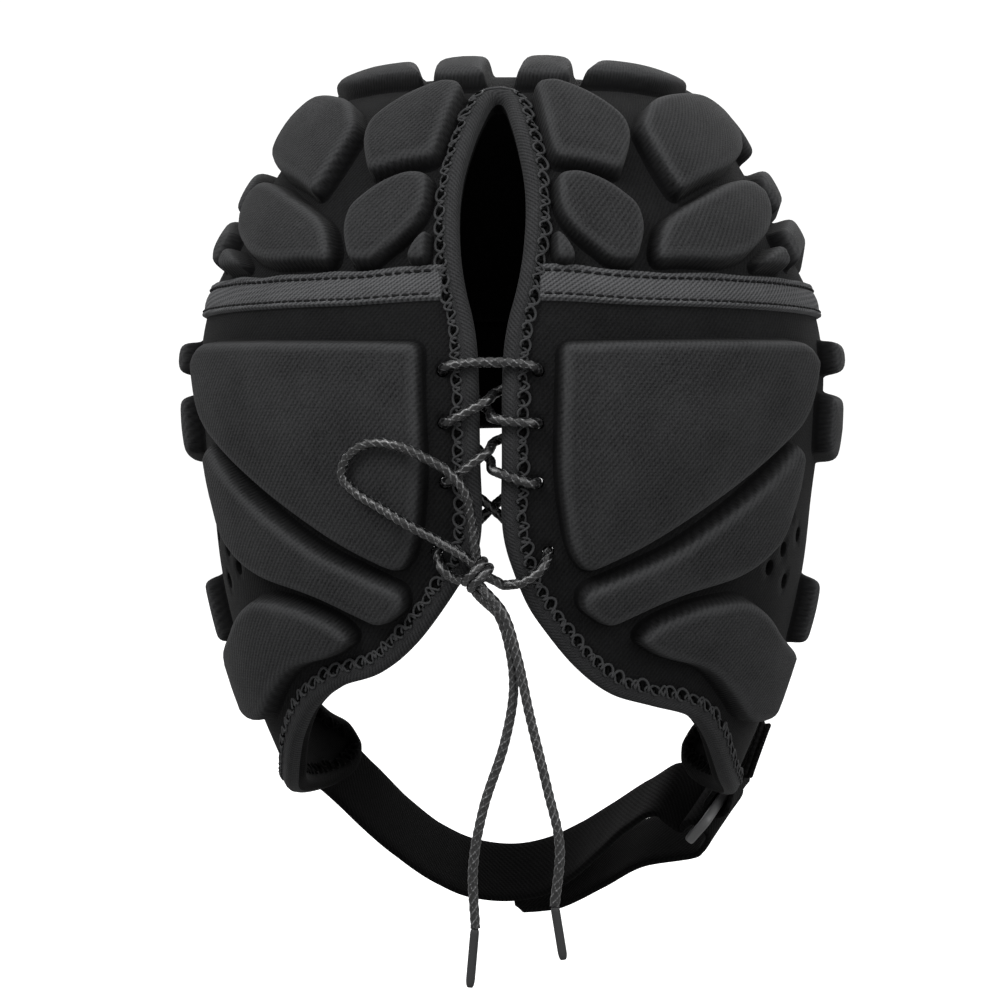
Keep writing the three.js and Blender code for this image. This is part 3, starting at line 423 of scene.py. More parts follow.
def tube(line, radius, sides, braid=0.0, taper=None):
    """Round cord along a line, with the ridges of a braid."""
    line = np.asarray(line, float)
    _, a, b = frames_along(line)
    run = lengths_along(line)
    angle = np.linspace(0, 2 * np.pi, sides, endpoint=False)
    s, q = np.meshgrid(run, angle, indexing="ij")
    twist = s * 2 * np.pi / BRAID_TURN
    ridge = np.maximum(np.cos(4 * q + 2 * twist), np.cos(4 * q - 2 * twist))
    r = radius * (1 - braid + braid * ridge)
    if taper is not None:
        r = r * np.asarray(taper)[:, None]
    verts = line[:, None] + a[:, None] * (r * np.cos(q))[..., None]
    verts = verts + b[:, None] * (r * np.sin(q))[..., None]
    cloth = np.stack([s, q * radius, ridge], -1)
    return verts.reshape(-1, 3), ring_faces(len(line), sides), cloth.reshape(-1, 3)


# Lace routes: degrees around, level and height over the inner face, or x, y and z
LACE_ROUTE = [
    [2, 10.08, 6.4], [5, 10.04, 6.9], [8.4, 9.86, 6.5], [9.8, 9.68, 1.6], [8.4, 9.6, -3.5],
    [4, 9.45, -3.9], [0, 9.2, -3.9], [-4, 8.95, -3.9], [-6.6, 8.83, -3.5], [-7.9, 8.77, 1.6],
    [-6.6, 8.7, 6.5], [-2.2, 8.44, 6.9], [-0.4, 8.34, 5.7], [0, 8.3, 1.6], [0.4, 8.26, -2.7],
    [2.4, 8.2, -3.9], [6.6, 8.04, -3.5], [7.9, 7.98, 1.6], [6.6, 7.96, 6.5], [2.2, 7.93, 6.9],
    [0.4, 7.9, 5.7], [0, 7.88, 1.6], [-0.4, 7.84, -2.7], [-2.4, 7.7, -3.9], [-6.6, 7.38, -3.5],
    [-7.9, 7.3, 1.6], [-6.6, 7.24, 6.5], [-3, 7.2, 6.9], [3, 7.2, 6.9], [6.6, 7.24, 6.5], [7.9, 7.3, 1.6],
    [6.6, 7.36, -3.5], [2.4, 7.52, -3.9], [0.4, 7.6, -2.7], [0, 7.64, 1.6], [-0.4, 7.68, 5.7],
    [-2.2, 7.76, 6.9], [-6.6, 7.95, 6.5], [-7.9, 7.98, 1.6], [-6.6, 8.04, -3.5], [-2.4, 8.38, -3.9],
    [-0.4, 8.5, -2.7], [0, 8.54, 1.6], [0.4, 8.57, 5.7], [2.2, 8.62, 6.9], [6.6, 8.74, 6.5],
    [7.9, 8.77, 1.6], [6.6, 8.84, -3.6], [4, 8.95, -5], [0, 9.2, -7.1], [-4, 9.45, -5], [-8.3, 9.6, -3.6],
    [-9.8, 9.68, 1.6], [-8.6, 9.85, 6.1], [-6.7, 9.98, 6.8],
]
LOOP_ROUTE = [
    [-4.4, 9.68, 7.6], [-8.6, 9.44, 9.4], [-13, 9.2, 12], [-17.4, 8.99, 12], [-21.2, 8.8, 12],
    [-23.3, 8.6, 12], [-22.4, 8.38, 12], [-19, 8.2, 12], [-14.6, 8.2, 12], [-10, 8.36, 11.4],
    [-6.2, 8.56, 10.6], [-3.6, 8.86, 9.9], [-2.8, 9.3, 9], [-2.4, 9.68, 7.8],
]
END_LEFT_ROUTE = [
    [-4.5, -100.3, -144.9], [1.6, -101, -151], [5, -101, -161], [6, -100.8, -172], [3.6, -100.6, -186],
    [-2.2, -100.4, -204], [-5, -100.3, -220], [-4.4, -100.2, -236.4],
]
END_RIGHT_ROUTE = [
    [-2.5, -103.2, -144.1], [3.4, -104.5, -151], [7.2, -104.3, -163], [10.4, -104, -178],
    [15.2, -103.7, -198], [18.6, -103.4, -214], [17.2, -103.2, -230],
]
AGLETS = {
    "left": [[-4.5, -100.2, -236.4], [-5.9, -100.2, -252.4]],
    "right": [[17.25, -103.2, -230], [19.6, -103.2, -244.4]],
}
KNOT = np.array([-4, -101.5, -140.4])


def on_form_list(route):
    """Points of a route given over the form."""
    a, l, h = np.array(route, float).T
    return on_form(a, l, h)


AGLET_RADIUS = 1.25
AGLET_TAPER = np.concatenate([[0.7, 0.94, 1.0], np.full(17, 1.0), [0.99, 0.95, 0.85, 0.6]])


def lace_piece(name, points):
    """Braided cord along points, and its middle line."""
    line, _ = spline(points, CORD_SPACING)
    return piece(name, tube(line, LACE_RADIUS, CORD_SIDES, BRAID_SHARE), LACE), line


lace_piece("lace", on_form_list(LACE_ROUTE))
loop, loop_line = lace_piece("lace_loop", on_form_list(LOOP_ROUTE))
ends = {}
for side, route in (("left", END_LEFT_ROUTE), ("right", END_RIGHT_ROUTE)):
    ends[side] = lace_piece("lace_end_" + side, route)
    tip = np.linspace(*np.array(AGLETS[side], float), len(AGLET_TAPER))
    shape = tube(tip, AGLET_RADIUS, CORD_SIDES, 0, AGLET_TAPER)
    ends[side] += (piece("aglet_" + side, shape, TIP),)

# Knot: two slanted turns of the lace round the strands that leave it
KNOT_HALF_WIDTH, KNOT_HALF_DEPTH, KNOT_RADIUS = 3.7, 3, LACE_RADIUS - 0.02
KNOT_ALONG, KNOT_OVER = np.array([0.74, 0, 0.67]), np.array([0.1, -1, 0.1])
KNOT_DOWN = np.array([0.6, 0, -0.66])
TURN_START, TURN_SHIFTS, TURN_RISE = 0.4, (-1.3, 1.3), 0.9
lace_line = on_form_list(LACE_ROUTE)
loop_points = on_form_list(LOOP_ROUTE)
strands = [
    [
        KNOT + [-1.2, -1.2, -1.6], KNOT + [1.6, -1.9, -0.6], (KNOT + [3.4, -1, -1] + lace_line[0]) / 2,
        *lace_line[:2],
    ],
    [KNOT + [1.6, -1.2, -1.6], KNOT + [-0.6, -1.9, -1.4], *lace_line[-1:-3:-1]],
    [KNOT + [0, 0.4, -2], KNOT + [-0.4, 0, 1.6], *loop_points[:2]],
    [KNOT + [0.4, 0.2, -2], KNOT + [0.6, 0, 1.6], *loop_points[-1:-3:-1]],
    [KNOT + [-0.4, 0.8, 1.6], KNOT + [-0.6, 0.8, -2], *np.array(END_LEFT_ROUTE[:2], float)],
    [KNOT + [0.4, -1, 1.6], KNOT + [0.4, -1.4, -2], *np.array(END_RIGHT_ROUTE[:2], float)],
]
for shift in TURN_SHIFTS:
    turn = np.linspace(0, 2 * np.pi, 25)[:, None] + TURN_START
    ring = KNOT_ALONG * np.cos(turn) * KNOT_HALF_WIDTH + KNOT_OVER * np.sin(turn) * KNOT_HALF_DEPTH
    strands.append(KNOT + [0, -0.4, 0] + ring + KNOT_DOWN * (shift + TURN_RISE * np.sin(turn / 2)))
knot_parts = []
for points in strands:
    line, _ = spline(points, CORD_SPACING)
    knot_parts.append(tube(line, KNOT_RADIUS, CORD_SIDES, BRAID_SHARE))
piece("lace_knot", joined(knot_parts), LACE)


for side in ("left", "right"):
    end, line, aglet = ends[side]

# Rim of the cap: degrees around and level
BACK_RIM = [
    [0, 2.86], [1.6, 2.98], [3.3, 3.36], [4.9, 3.8], [6.3, 4.4], [6.5, 4.95], [5.7, 5.55], [4.4, 6.1],
    [2.9, 6.6], [2.1, 7.1], [1.85, 7.8], [1.8, 8.5], [1.65, 9.15], [2.2, 9.6], [4, 10], [8, 10.5],
    [15, 11.1], [23, 11.5], [33, 11.7], [43, 11.95], [52, 12.33], [61, 12.73], [71, 13.08], [83, 13.3],
    [96, 13.42], [109, 13.42], [119, 13.3], [125.5, 13.08], [128.6, 12.75],
]
FACE_RIM = [
    [128.6, 12.75], [126, 12.42], [119, 12.2], [113.5, 11.8], [109.5, 11.1], [107.8, 10.3], [109, 9.5],
    [113, 9], [120, 8.62], [129, 8.32], [140, 8.08], [153, 7.95], [166, 7.88], [180, 7.86],
]
HOLES = [[7.9, 7.3], [7.9, 7.98], [7.9, 8.77], [9.8, 9.68]]
VENTS = [[67, 9.2], [73, 9.5], [65, 9.7], [60, 9.95], [68, 10.15]]
UNIT = np.array([DEGREE_LENGTH, LEVEL_STEP])
RIM_TIP = BACK_RIM[-1]
# The cloth ends this far inside the fold of the edging
CLOTH_INSET = 1.3
# The hem is moved between these degrees around, and below these levels
MOVED_FROM, MOVED_TO, MOVED_BELOW = (1.5, 7), (30, 50), (9.6, 10.2)


def step(x, low, high):
    """Smooth step from 0 at low to 1 at high, which may lie on either side."""
    t = np.clip((x - low) / (high - low), 0, 1)
    return t * t * (3 - 2 * t)


def settled(path):
    """The hem moved down on the right side and up on the left."""
    side = np.abs(path[:, 0])
    share = step(side, *MOVED_FROM) * (1 - step(side, *MOVED_TO)) * step(path[:, 1], *MOVED_BELOW)
    return np.stack([path[:, 0], path[:, 1] + np.sign(path[:, 0]) * share * HEM_DROP / LEVEL_STEP], 1)


def rim_path(table, middle, spacing=1.0):
    """Both halves of a rim, mirrored about its middle, as evenly spaced places."""
    table = np.array(table, float)
    other = (table[1:] if middle == 0 else table[:-1])[::-1] * [-1, 1] + [2 * middle, 0]
    whole = np.vstack([other, table]) if middle == 0 else np.vstack([table, other])
    return spline(whole * UNIT, spacing, uniform=True)[0] / UNIT


back_path = settled(rim_path(BACK_RIM, 0))
face_path = rim_path(FACE_RIM, 180)
closed = np.vstack([back_path[:-1], face_path[:-1]])
KERNEL = np.array([1, 4, 7, 4, 1]) / 17
wrapped = np.vstack([closed[-4:] - [360, 0], closed, closed[:4] + [360, 0]])
closed = np.stack([np.convolve(wrapped[:, c], KERNEL, "valid") for c in (0, 1)], 1)[2:-2]
after = np.vstack([closed[1:], closed[:1] + [360, 0]])
before = np.vstack([closed[-1:] - [360, 0], closed[:-1]])
wide, tall = local_scale(closed[:, 0], closed[:, 1])
run = even((after - before) * np.stack([wide, tall], 1))
inward = np.stack([run[:, 1] / wide, -run[:, 0] / tall], 1)
steps = len(back_path) - 1
rims = {
    "back": (closed[: steps + 1], inward[: steps + 1]),
    "face": (np.vstack([closed[steps:], closed[:1] + [360, 0]]), np.vstack([inward[steps:], inward[:1]])),
}
edge = closed + inward * CLOTH_INSET
# The top of the slot: the place above this level that is nearest to the middle
APEX_ABOVE = 5
apex = int(np.argmin(np.where(closed[:steps, 1] > APEX_ABOVE, np.inf, np.abs(closed[:steps, 0]))))


# Surfaces over the form: rows of an even grid, and points that are tested at a time
ROW_SHARE = 0.866
BATCH = 2000


def inside(points, loop):
    """Which points lie inside a loop."""
    x, y = points[:, :1], points[:, 1:]
    a, b = loop, np.roll(loop, -1, axis=0)
    over = (a[:, 1] > y) != (b[:, 1] > y)
    with np.errstate(divide="ignore", invalid="ignore"):
        cut = (b[:, 0] - a[:, 0]) * (y - a[:, 1]) / (b[:, 1] - a[:, 1]) + a[:, 0]
    return (np.sum(over & (x < cut), axis=1) % 2) == 1


def distance_to(points, loop):
    """Distance of points from a loop."""
    a, b = loop, np.roll(loop, -1, axis=0)
    ab = b - a
    t = np.einsum("pkc,kc->pk", points[:, None] - a, ab) / np.maximum((ab**2).sum(1), 1e-12)
    t = np.clip(t, 0, 1)[..., None]
    return np.linalg.norm(points[:, None] - (a + ab * t), axis=2).min(axis=1)


def in_batches(points, loop):
    return np.concatenate([inside(part, loop) for part in np.array_split(points, 1 + len(points) // BATCH)])


def depth_in(points, loop):
    """Distance of points in from a loop, less than nothing outside it."""
    gap = distance_to(points, loop)
    return np.where(inside(points, loop), gap, -gap)


def grid_in(loop, spacing, clear, holes=()):
    """Evenly spaced points inside a loop, clear of it and of its holes."""
    low, high = loop.min(0), loop.max(0)
    ys = np.arange(low[1], high[1], spacing * ROW_SHARE)
    points = []
    for r, y in enumerate(ys):
        xs = np.arange(low[0] + (r % 2) * spacing / 2, high[0], spacing)
        points.append(np.stack([xs, np.full_like(xs, y)], 1))
    points = np.vstack(points)
    points = points[in_batches(points, loop)]
    borders = np.vstack([loop, *holes])
    tree = kdtree.KDTree(len(borders))
    for k, p in enumerate(borders):
        tree.insert((p[0], p[1], 0), k)
    tree.balance()
    return points[[tree.find((p[0], p[1], 0))[2] > clear for p in points]]


def triangles(loop, extra, holes=()):
    """Points and triangles inside a loop and outside its holes."""
    loops = [loop, *holes]
    points = np.vstack([*loops, extra]) if len(extra) else np.vstack(loops)
    edges, base = [], 0
    for line in loops:
        edges += [(base + k, base + (k + 1) % len(line)) for k in range(len(line))]
        base += len(line)
    found = geometry.delaunay_2d_cdt([Vector(p) for p in points], edges, [], 0, 1e-5)
    points = np.array([tuple(p) for p in found[0]])
    faces = np.array([f for f in found[2] if len(f) == 3])
    middle = points[faces].mean(axis=1)
    keep = in_batches(middle, loop)
    for hole in holes:
        keep &= ~inside(middle, hole)
    return points, faces[keep]


def turned_out(verts, faces, around, level):
    """Triangles all facing away from the form."""
    p = verts[faces]
    n = np.cross(p[:, 1] - p[:, 0], p[:, 2] - p[:, 0])
    out = face_normal(around[faces[:, 0]], level[faces[:, 0]])
    flip = (n * out).sum(1) < 0
    faces = faces.copy()
    faces[flip] = faces[flip][:, ::-1]
    return faces


def border(faces):
    """Directed edges that only one triangle has."""
    edges = {(int(a), int(b)) for f in faces for a, b in ((f[0], f[1]), (f[1], f[2]), (f[2], f[0]))}
    return [(a, b) for a, b in edges if (b, a) not in edges]


class Round:
    """Layout round the top of the cap."""

    unit = UNIT * [0.85, 1]

    def to(self, p):
        angle = np.radians(p[:, 0])
        return np.stack([np.sin(angle), np.cos(angle)], 1) * p[:, 1:] * LEVEL_STEP

    def back(self, p):
        return np.degrees(np.arctan2(p[:, 0], p[:, 1])), np.linalg.norm(p, axis=1) / LEVEL_STEP


class Flat:
    """Unrolled layout, to scale at the middle of some places."""

    def __init__(self, places=None):
        self.unit = UNIT if places is None else np.array(local_scale(*np.mean(places, axis=0)))

    def to(self, p):
        return p * self.unit

    def back(self, p):
        return p[:, 0] / self.unit[0], p[:, 1] / self.unit[1]


def ripple(verts, scale, amount, seed):
    """Slow unevenness of soft cloth."""
    return np.array([noise.noise(Vector(p) * scale + Vector((seed, 0, 0))) for p in verts]) * amount


# Spacing of the points of a shell, and how far they stay from its rims
SHELL_GRID, SHELL_CLEAR = 2.6, 1.5
# Scale in turns for each millimetre, height and seed of the unevenness of the shells
SHELL_RIPPLE = (0.045, 0.25, 3.0)


def shell(name, loop, layout, holes=()):
    """Cloth of even thickness between the inner face and its outer face."""
    points, faces = triangles(loop, grid_in(loop, SHELL_GRID, SHELL_CLEAR, holes), holes)
    around, level = layout.back(points)
    bare = face_point(around, level)
    soft = ripple(bare, *SHELL_RIPPLE)
    outer = on_form(around, level, SHELL + soft)
    faces = turned_out(outer, faces, around, level)
    inner = on_form(around, level, soft)
    count = len(points)
    walls = [[b, a, a + count, b + count] for a, b in border(faces)]
    cloth = np.stack([around * DEGREE_LENGTH, level * LEVEL_STEP, np.full(count, FAR_IN)], 1)
    lists = faces.tolist() + (faces[:, ::-1] + count).tolist() + walls
    shape = np.vstack([outer, inner]), lists, np.vstack([cloth, cloth])
    obj = piece(name, shape, [SHELL_KNIT_SHADED, LINING])
    index = [0] * len(faces) + [1] * (len(faces) + len(walls))
    obj.data.polygons.foreach_set("material_index", index)


def level_line(level, low, high, spacing=2.0):
    """Evenly spaced places along one level."""
    count = int((high - low) * DEGREE_LENGTH / spacing)
    around = np.linspace(low, high, count + 1)
    return np.stack([around, np.full_like(around, level)], 1)


def hole_loop(around, level, radius, layout, sides=14):
    wide, tall = local_scale(around, level)
    angle = np.linspace(0, 2 * np.pi, sides, endpoint=False)
    ring = np.stack([around + np.cos(angle) * radius / wide, level + np.sin(angle) * radius / tall], 1)
    return layout.to(ring)


SEAM_GAP = 0.008
LACE_HOLE = LACE_RADIUS + 0.2
VENT_RADIUS = 2.3
right_edge = edge[apex:]
cut = int(np.argmax(right_edge[:, 1] > SEAM_LEVEL))
slot_half = edge[apex + 1 : apex + cut]
last_around = float(right_edge[cut, 0])
round_loop = np.vstack([
    edge[apex : apex + 1] * [0, 1],
    slot_half,
    level_line(SEAM_LEVEL - SEAM_GAP, last_around, 360 - last_around),
    slot_half[::-1] * [-1, 1],
])
shell("crown_shell", Round().to(round_loop), Round())

left_cut = int(np.argmax(edge[:apex, 1] < SEAM_LEVEL))
seam_line = level_line(SEAM_LEVEL + SEAM_GAP, last_around, 360 + float(edge[left_cut, 0]))
flat_loop = np.vstack([edge[apex + cut :], edge[:left_cut] + [360, 0], seam_line[::-1]])
flat = Flat()
holes = [hole_loop(s % 360, level, LACE_HOLE, flat) for a, level in HOLES for s in (a, -a)]
holes += [hole_loop(s % 360, level, VENT_RADIUS, flat) for a, level in VENTS for s in (a, -a)]
shell("guard_shell", flat.to(flat_loop), flat, holes)

# Pads: corners as degrees around and level
CROWN_PADS = {
    "inner_upper": [
        [8.8, 2.84], [15, 2.72], [25, 3.12], [31, 3.55], [30.5, 3.95], [26, 4.48], [12, 4.27], [10.6, 3.7],
    ],
    "inner_lower": [
        [12.2, 4.48], [17, 4.42], [23, 4.6], [28, 4.95], [28, 5.32], [25, 5.78], [20.5, 5.8], [15, 5.42],
        [12, 5.05],
    ],
    "outer_upper": [
        [33.5, 3.62], [40, 3.1], [52, 2.86], [72, 2.7], [80, 3], [80, 3.5], [68, 3.98], [56, 4.3],
        [38, 4.76], [35.5, 4.3],
    ],
    "outer_lower": [
        [28.8, 5.6], [31.8, 5.2], [37, 4.97], [45, 4.72], [54, 4.47], [64, 4.37], [69, 4.55], [67, 4.95],
        [60, 5.32], [50, 5.66], [42, 5.79], [29, 5.79],
    ],
    "corner": [[63, 5.42], [63, 5.79], [52, 5.79], [53, 5.7]],
    "slot_side": [[11, 5.3], [12.8, 5.38], [14.4, 5.62], [14.2, 5.79], [10.8, 5.79]],
    "top_inner": [[4.2, 2.58], [20, 2.58], [44, 1.12], [12, 0.95]],
    "top_outer": [[24.5, 2.42], [56, 2.5], [84, 2.35], [80, 1.3], [45, 1.5]],
    "side_top": [[87, 2.86], [105, 2.84], [109, 3.35], [104, 3.8], [88, 3.82], [85, 3.4]],
    "side_upper": [[71.5, 4.42], [76, 4.18], [104, 4.15], [109, 4.5], [104, 4.85], [72.5, 4.88]],
    "side_lower": [[67, 5.2], [71, 5.1], [106, 5.1], [110, 5.38], [106, 5.72], [67, 5.74]],
    "front_top": [[98, 2.55], [122, 2.7], [152, 2.6], [135, 1.6], [103, 1.3]],
    "front_inner": [[176, 3], [152, 3], [150, 3.9], [156, 4.5], [176, 4.4]],
    "front_outer": [[146, 3.1], [124, 2.95], [112.5, 3.5], [118, 4.35], [138, 4.7], [148, 4.2]],
    "front_low": [[176.4, 4.88], [150.6, 4.94], [121.2, 4.74], [116, 5.3], [121.6, 5.74], [176.4, 5.74]],
}
GUARD_PADS = {
    "back": [
        [11.2, 6.92], [62, 6.8], [67.5, 7.05], [63, 7.85], [40, 8.97], [26, 9.6], [16, 9.95], [13, 9.62],
        [11, 8.6],
    ],
    "strip": [
        [61, 8.17], [46, 8.96], [31, 9.65], [15.3, 10.16], [15.3, 10.42], [20.5, 10.68], [33, 10.27],
        [48, 10.02], [60, 9.55], [64.5, 8.9], [65, 8.3],
    ],
    "lobe": [
        [49, 10.28], [38, 10.37], [29, 10.6], [25.8, 10.84], [32, 11.1], [42, 11.24], [50, 11.6],
        [60, 12.08], [74, 12.08], [79, 11.1], [66, 10.9], [57, 10.5],
    ],
    "cheek": [[82, 10.1], [99, 10.1], [101, 10.95], [84, 11.05]],
    "temple_upper": [[76, 6.75], [110, 6.72], [110, 7.15], [77, 7.22]],
    "temple_lower": [[74, 7.5], [110, 7.42], [110, 8.3], [92, 8.45], [76, 8.3]],
    "brow": [[117, 6.72], [150, 6.7], [177, 6.7], [177, 7.25], [150, 7.3], [117, 7.55]],
}
# Profile of a pad: distance in from its outline, and height over the inner face
PROFILE = np.array([
    [-1.5, 2.8], [-0.9, 3.05], [-0.45, 3.6], [-0.15, 4.6], [0.1, 5.9], [0.4, 7.1], [0.8, 8.05], [1.4, 8.75],
    [2.2, 9.15], [3.4, 9.36], [6, 9.5], [10, 9.65], [18, 9.9],
])
# Rings of points inside the outline, and how far a point may be from its own ring
RING_DEPTHS = [*PROFILE[1:9, 0], 2.9, 3.6]
RING_SLACK = 0.12
# Spacing and clearance of the points on a pad's face and on its underside, and the height of that side
FACE_GRID, UNDER_GRID, UNDER_HEIGHT = (2.4, 4.0), (8, 4), 1.5
# Distance in given to a pad's underside, which puts it in full painted shade
UNDER_SHADE_IN = -2.0
# Scale, height and length of rise of a pad's unevenness, and the step between the seeds of two pads
PAD_RIPPLE, RIPPLE_RISE, SEED_STEP = (0.05, 0.3), 3, 1.7
# Corners: the sharp ones turn by more than this, a fillet takes this share of a side, and spacing along it
SHARP_TURN, SIDE_SHARE_MOST, OUTLINE_SPACING = math.radians(42), 0.42, 1.1
# Softer walls: degrees around where they begin and are reached, and how steep they then are
SLOPES = {"back": [(19, 15, 0.4), (58, 66, 0.6)], "strip": [(50, 62, 0.3)], "lobe": [(66, 76, 0.5)]}


def rounded(corners, sharp=3.2, gentle=8.0):
    """Outline as closely spaced points, with a fillet for its sharp corners and one for its gentle ones."""
    line = []
    n = len(corners)
    for k in range(n):
        p, q, r = corners[k - 1], corners[k], corners[(k + 1) % n]
        a, b = p - q, r - q
        la, lb = np.linalg.norm(a), np.linalg.norm(b)
        turn = math.pi - math.acos(float(np.clip(a @ b / (la * lb), -1, 1)))
        size = sharp if turn > SHARP_TURN else gentle
        ca, cb = min(size, la * SIDE_SHARE_MOST) / la, min(size, lb * SIDE_SHARE_MOST) / lb
        first, last = q + a * ca, q + b * cb
        for t in np.linspace(0, 1, 7):
            line.append(first * (1 - t) ** 2 + 2 * q * t * (1 - t) + last * t * t)
    line = np.array(line)
    both = np.vstack([line, line[:1]])
    run = lengths_along(both)
    at = np.linspace(0, run[-1], int(run[-1] / OUTLINE_SPACING), endpoint=False)
    return np.stack([np.interp(at, run, both[:, c]) for c in (0, 1)], 1)


def offset(loop, distance):
    """Loop moved in by a distance, or out by a negative one."""
    area = np.cross(loop, np.roll(loop, -1, axis=0)).sum()
    t = even(np.roll(loop, -1, axis=0) - np.roll(loop, 1, axis=0))
    return loop + np.stack([-t[:, 1], t[:, 0]], 1) * distance * np.sign(area)


def pad(name, corners, layout, seed):
    """Closed crowned pad over an outline."""
    outline = rounded(layout.to(np.array(corners, float)))
    skirt = offset(outline, PROFILE[0, 0])
    rings = [offset(outline, depth) for depth in RING_DEPTHS]
    extra = np.vstack([*rings, grid_in(outline, *FACE_GRID)])
    signed = depth_in(extra, outline)
    nominal = np.repeat(RING_DEPTHS, len(outline))
    nominal = np.concatenate([nominal, signed[len(nominal) :]])
    points, faces = triangles(skirt, extra[np.abs(signed - nominal) < RING_SLACK])
    signed = depth_in(points, outline)
    around, level = layout.back(points)
    slope = np.ones(len(points))
    for low, high, least in SLOPES.get(name.split("_")[1], []):
        slope *= 1 - (1 - least) * step(np.abs(around), low, high)
    height = np.interp(signed * np.where(signed > 0, slope, 1), PROFILE[:, 0], PROFILE[:, 1])
    bare = face_point(around, level)
    height += ripple(bare, *PAD_RIPPLE, seed) * np.clip(signed / RIPPLE_RISE, 0, 1)
    top = on_form(around, level, height)
    faces = turned_out(top, faces, around, level)
    under_points, under_faces = triangles(skirt, grid_in(skirt, *UNDER_GRID))
    under_around, under_level = layout.back(under_points)
    under = on_form(under_around, under_level, np.full(len(under_points), UNDER_HEIGHT))
    under_faces = turned_out(under, under_faces, under_around, under_level)[:, ::-1]
    base = len(points)
    walls = [[b, a, a + base, b + base] for a, b in border(faces)]
    lists = faces.tolist() + (under_faces + base).tolist() + walls
    cloth = np.stack([around * layout.unit[0], level * layout.unit[1], signed], 1)
    under_shade_in = np.full(len(under_points), UNDER_SHADE_IN)
    under_cloth = np.stack([under_around, under_level * LEVEL_STEP, under_shade_in], 1)
    shape = np.vstack([top, under]), lists, np.vstack([cloth, under_cloth])
    piece(name, shape, PAD)


seed = 0.0
for table in (CROWN_PADS, GUARD_PADS):
    for word, corners in table.items():
        for side, sign in (("left", -1), ("right", 1)):
            seed += SEED_STEP
            places = [[sign * a, level] for a, level in corners]
            layout = Round() if table is CROWN_PADS else Flat(places)
            pad("pad_%s_%s" % (word, side), places, layout, seed)


# Folded edging: length of a stitch, and the foot of the slot
STITCH = 4.7
SLOT_FOOT = [4.6, 10]
# Millimetres from the tips and from the foot of the slot, and levels, over which the edging grows wider
TIP_GROWS, FOOT_GROWS, SLOT_GROWS = (4, 26), (2, 16), (5.8, 7.2)
TIP_DEGREE, FOOT_DEGREE = 1.1, 1.6
FOOT_LEAST, SLOT_LEAST = 0.4, 0.1


def edging_width(path):
    """Width of the edging: narrower along the slot, at its foot and at the tips of the tabs."""
    side = np.where(path[:, 0] > 180, 360 - path[:, 0], np.abs(path[:, 0]))
    tip = np.hypot((side - RIM_TIP[0]) * TIP_DEGREE, (path[:, 1] - RIM_TIP[1]) * LEVEL_STEP)
    foot = np.hypot((side - SLOT_FOOT[0]) * FOOT_DEGREE, (path[:, 1] - SLOT_FOOT[1]) * LEVEL_STEP)
    share = np.minimum(step(tip, *TIP_GROWS), FOOT_LEAST + step(foot, *FOOT_GROWS))
    share = np.minimum(share, SLOT_LEAST + step(path[:, 1], *SLOT_GROWS))
    return EDGING_TIP_WIDTH + (EDGING_WIDTH - EDGING_TIP_WIDTH) * share


# Section of the edging: share of its width, distance in, height over the inner face
FOLD = [
    [1, 0, 2.9], [1, 0, 4.1], [1, -0.35, 4.6], [1, -1.0, 4.85], [0, 3.0, 4.95], [0, 1.7, 4.8],
    [0, 0.75, 4.3], [0, 0.2, 3.3], [0, 0, 1.5], [0, 0.2, -0.4], [0, 0.75, -1.35], [0, 1.7, -1.8],
    [0, 3.0, -1.95], [1, -1.0, -1.85], [1, -0.35, -1.6], [1, 0, -1.1], [1, 0, 0.1],
]
OUTERMOST = 8


def rim_point(path, into, distance, height):
    """Places at a distance in from a rim, at a height over the inner face."""
    return on_form(path[:, 0] + into[:, 0] * distance, path[:, 1] + into[:, 1] * distance, height)


def edging(name, key):
    """Folded band round a rim, with its stitches."""
    path, into = rims[key]
    width = edging_width(path)
    rings = []
    for share, distance, height in FOLD:
        h = np.full(len(path), float(height))
        rings.append(rim_point(path, into, width * share + distance, h))
    verts = np.stack(rings, 1)
    run = lengths_along(verts[:, OUTERMOST])
    across = np.cumsum([0] + [math.dist(a[1:], b[1:]) for a, b in zip(FOLD, FOLD[1:])])
    shape = verts.reshape(-1, 3), ring_faces(len(path), len(FOLD)), cloth_grid(run, across)
    obj = piece(name, shape, [EDGE_KNIT, LINING])
    inner = [int(OUTERMOST <= k < len(FOLD) - 1) for k in range(len(FOLD))]
    index = inner * (len(path) - 1) + [0, 0]
    obj.data.polygons.foreach_set("material_index", index)
    stitched(name + "_stitches", path, into, width, run)


# Thread: radii and sides, the share by which its loops differ in reach, and by how much they are shifted
THREAD_RADIUS, FINE_THREAD_RADIUS, SUNK_RADIUS, THREAD_SIDES, THREAD_SPACING = 0.4, 0.34, 0.42, 6, 0.5
REACH_VARIES, SHIFT_MOST, THREAD_SEED = 0.3, 0.35, 7
# Scallop: where it starts past the edging, its reach, how deep it sinks, and how much it leans
SCALLOP_FROM, SCALLOP_REACH, SCALLOP_SINK, SCALLOP_LEAN = -0.5, 2.3, 1.35, 0.11
# Finer thread between the scallops: the same, how much later it turns, and how much higher it lies
BETWEEN_FROM, BETWEEN_REACH, BETWEEN_SINK, BETWEEN_LATER, BETWEEN_RAISE = -0.9, 2.1, 0.85, 0.42, 0.15
# Sunk stitch: shares of its length, distances past the edging, and heights over the inner face
SUNK_SHARES = np.array([0.42, 0.44, 0.5, 0.56, 0.58])
SUNK_BEYOND = np.array([0.9, 0.7, 0.2, -0.3, -0.5])
SUNK_HEIGHTS = np.array([3.4, 4.5, 5.05, 5.2, 4.2])
# Faces that are stitched: material, height of the thread over the inner face, and which way it sinks
STITCHED_FACES = {"out": (THREAD, 4.95, 1), "in": (LINING, -1.95, -1)}


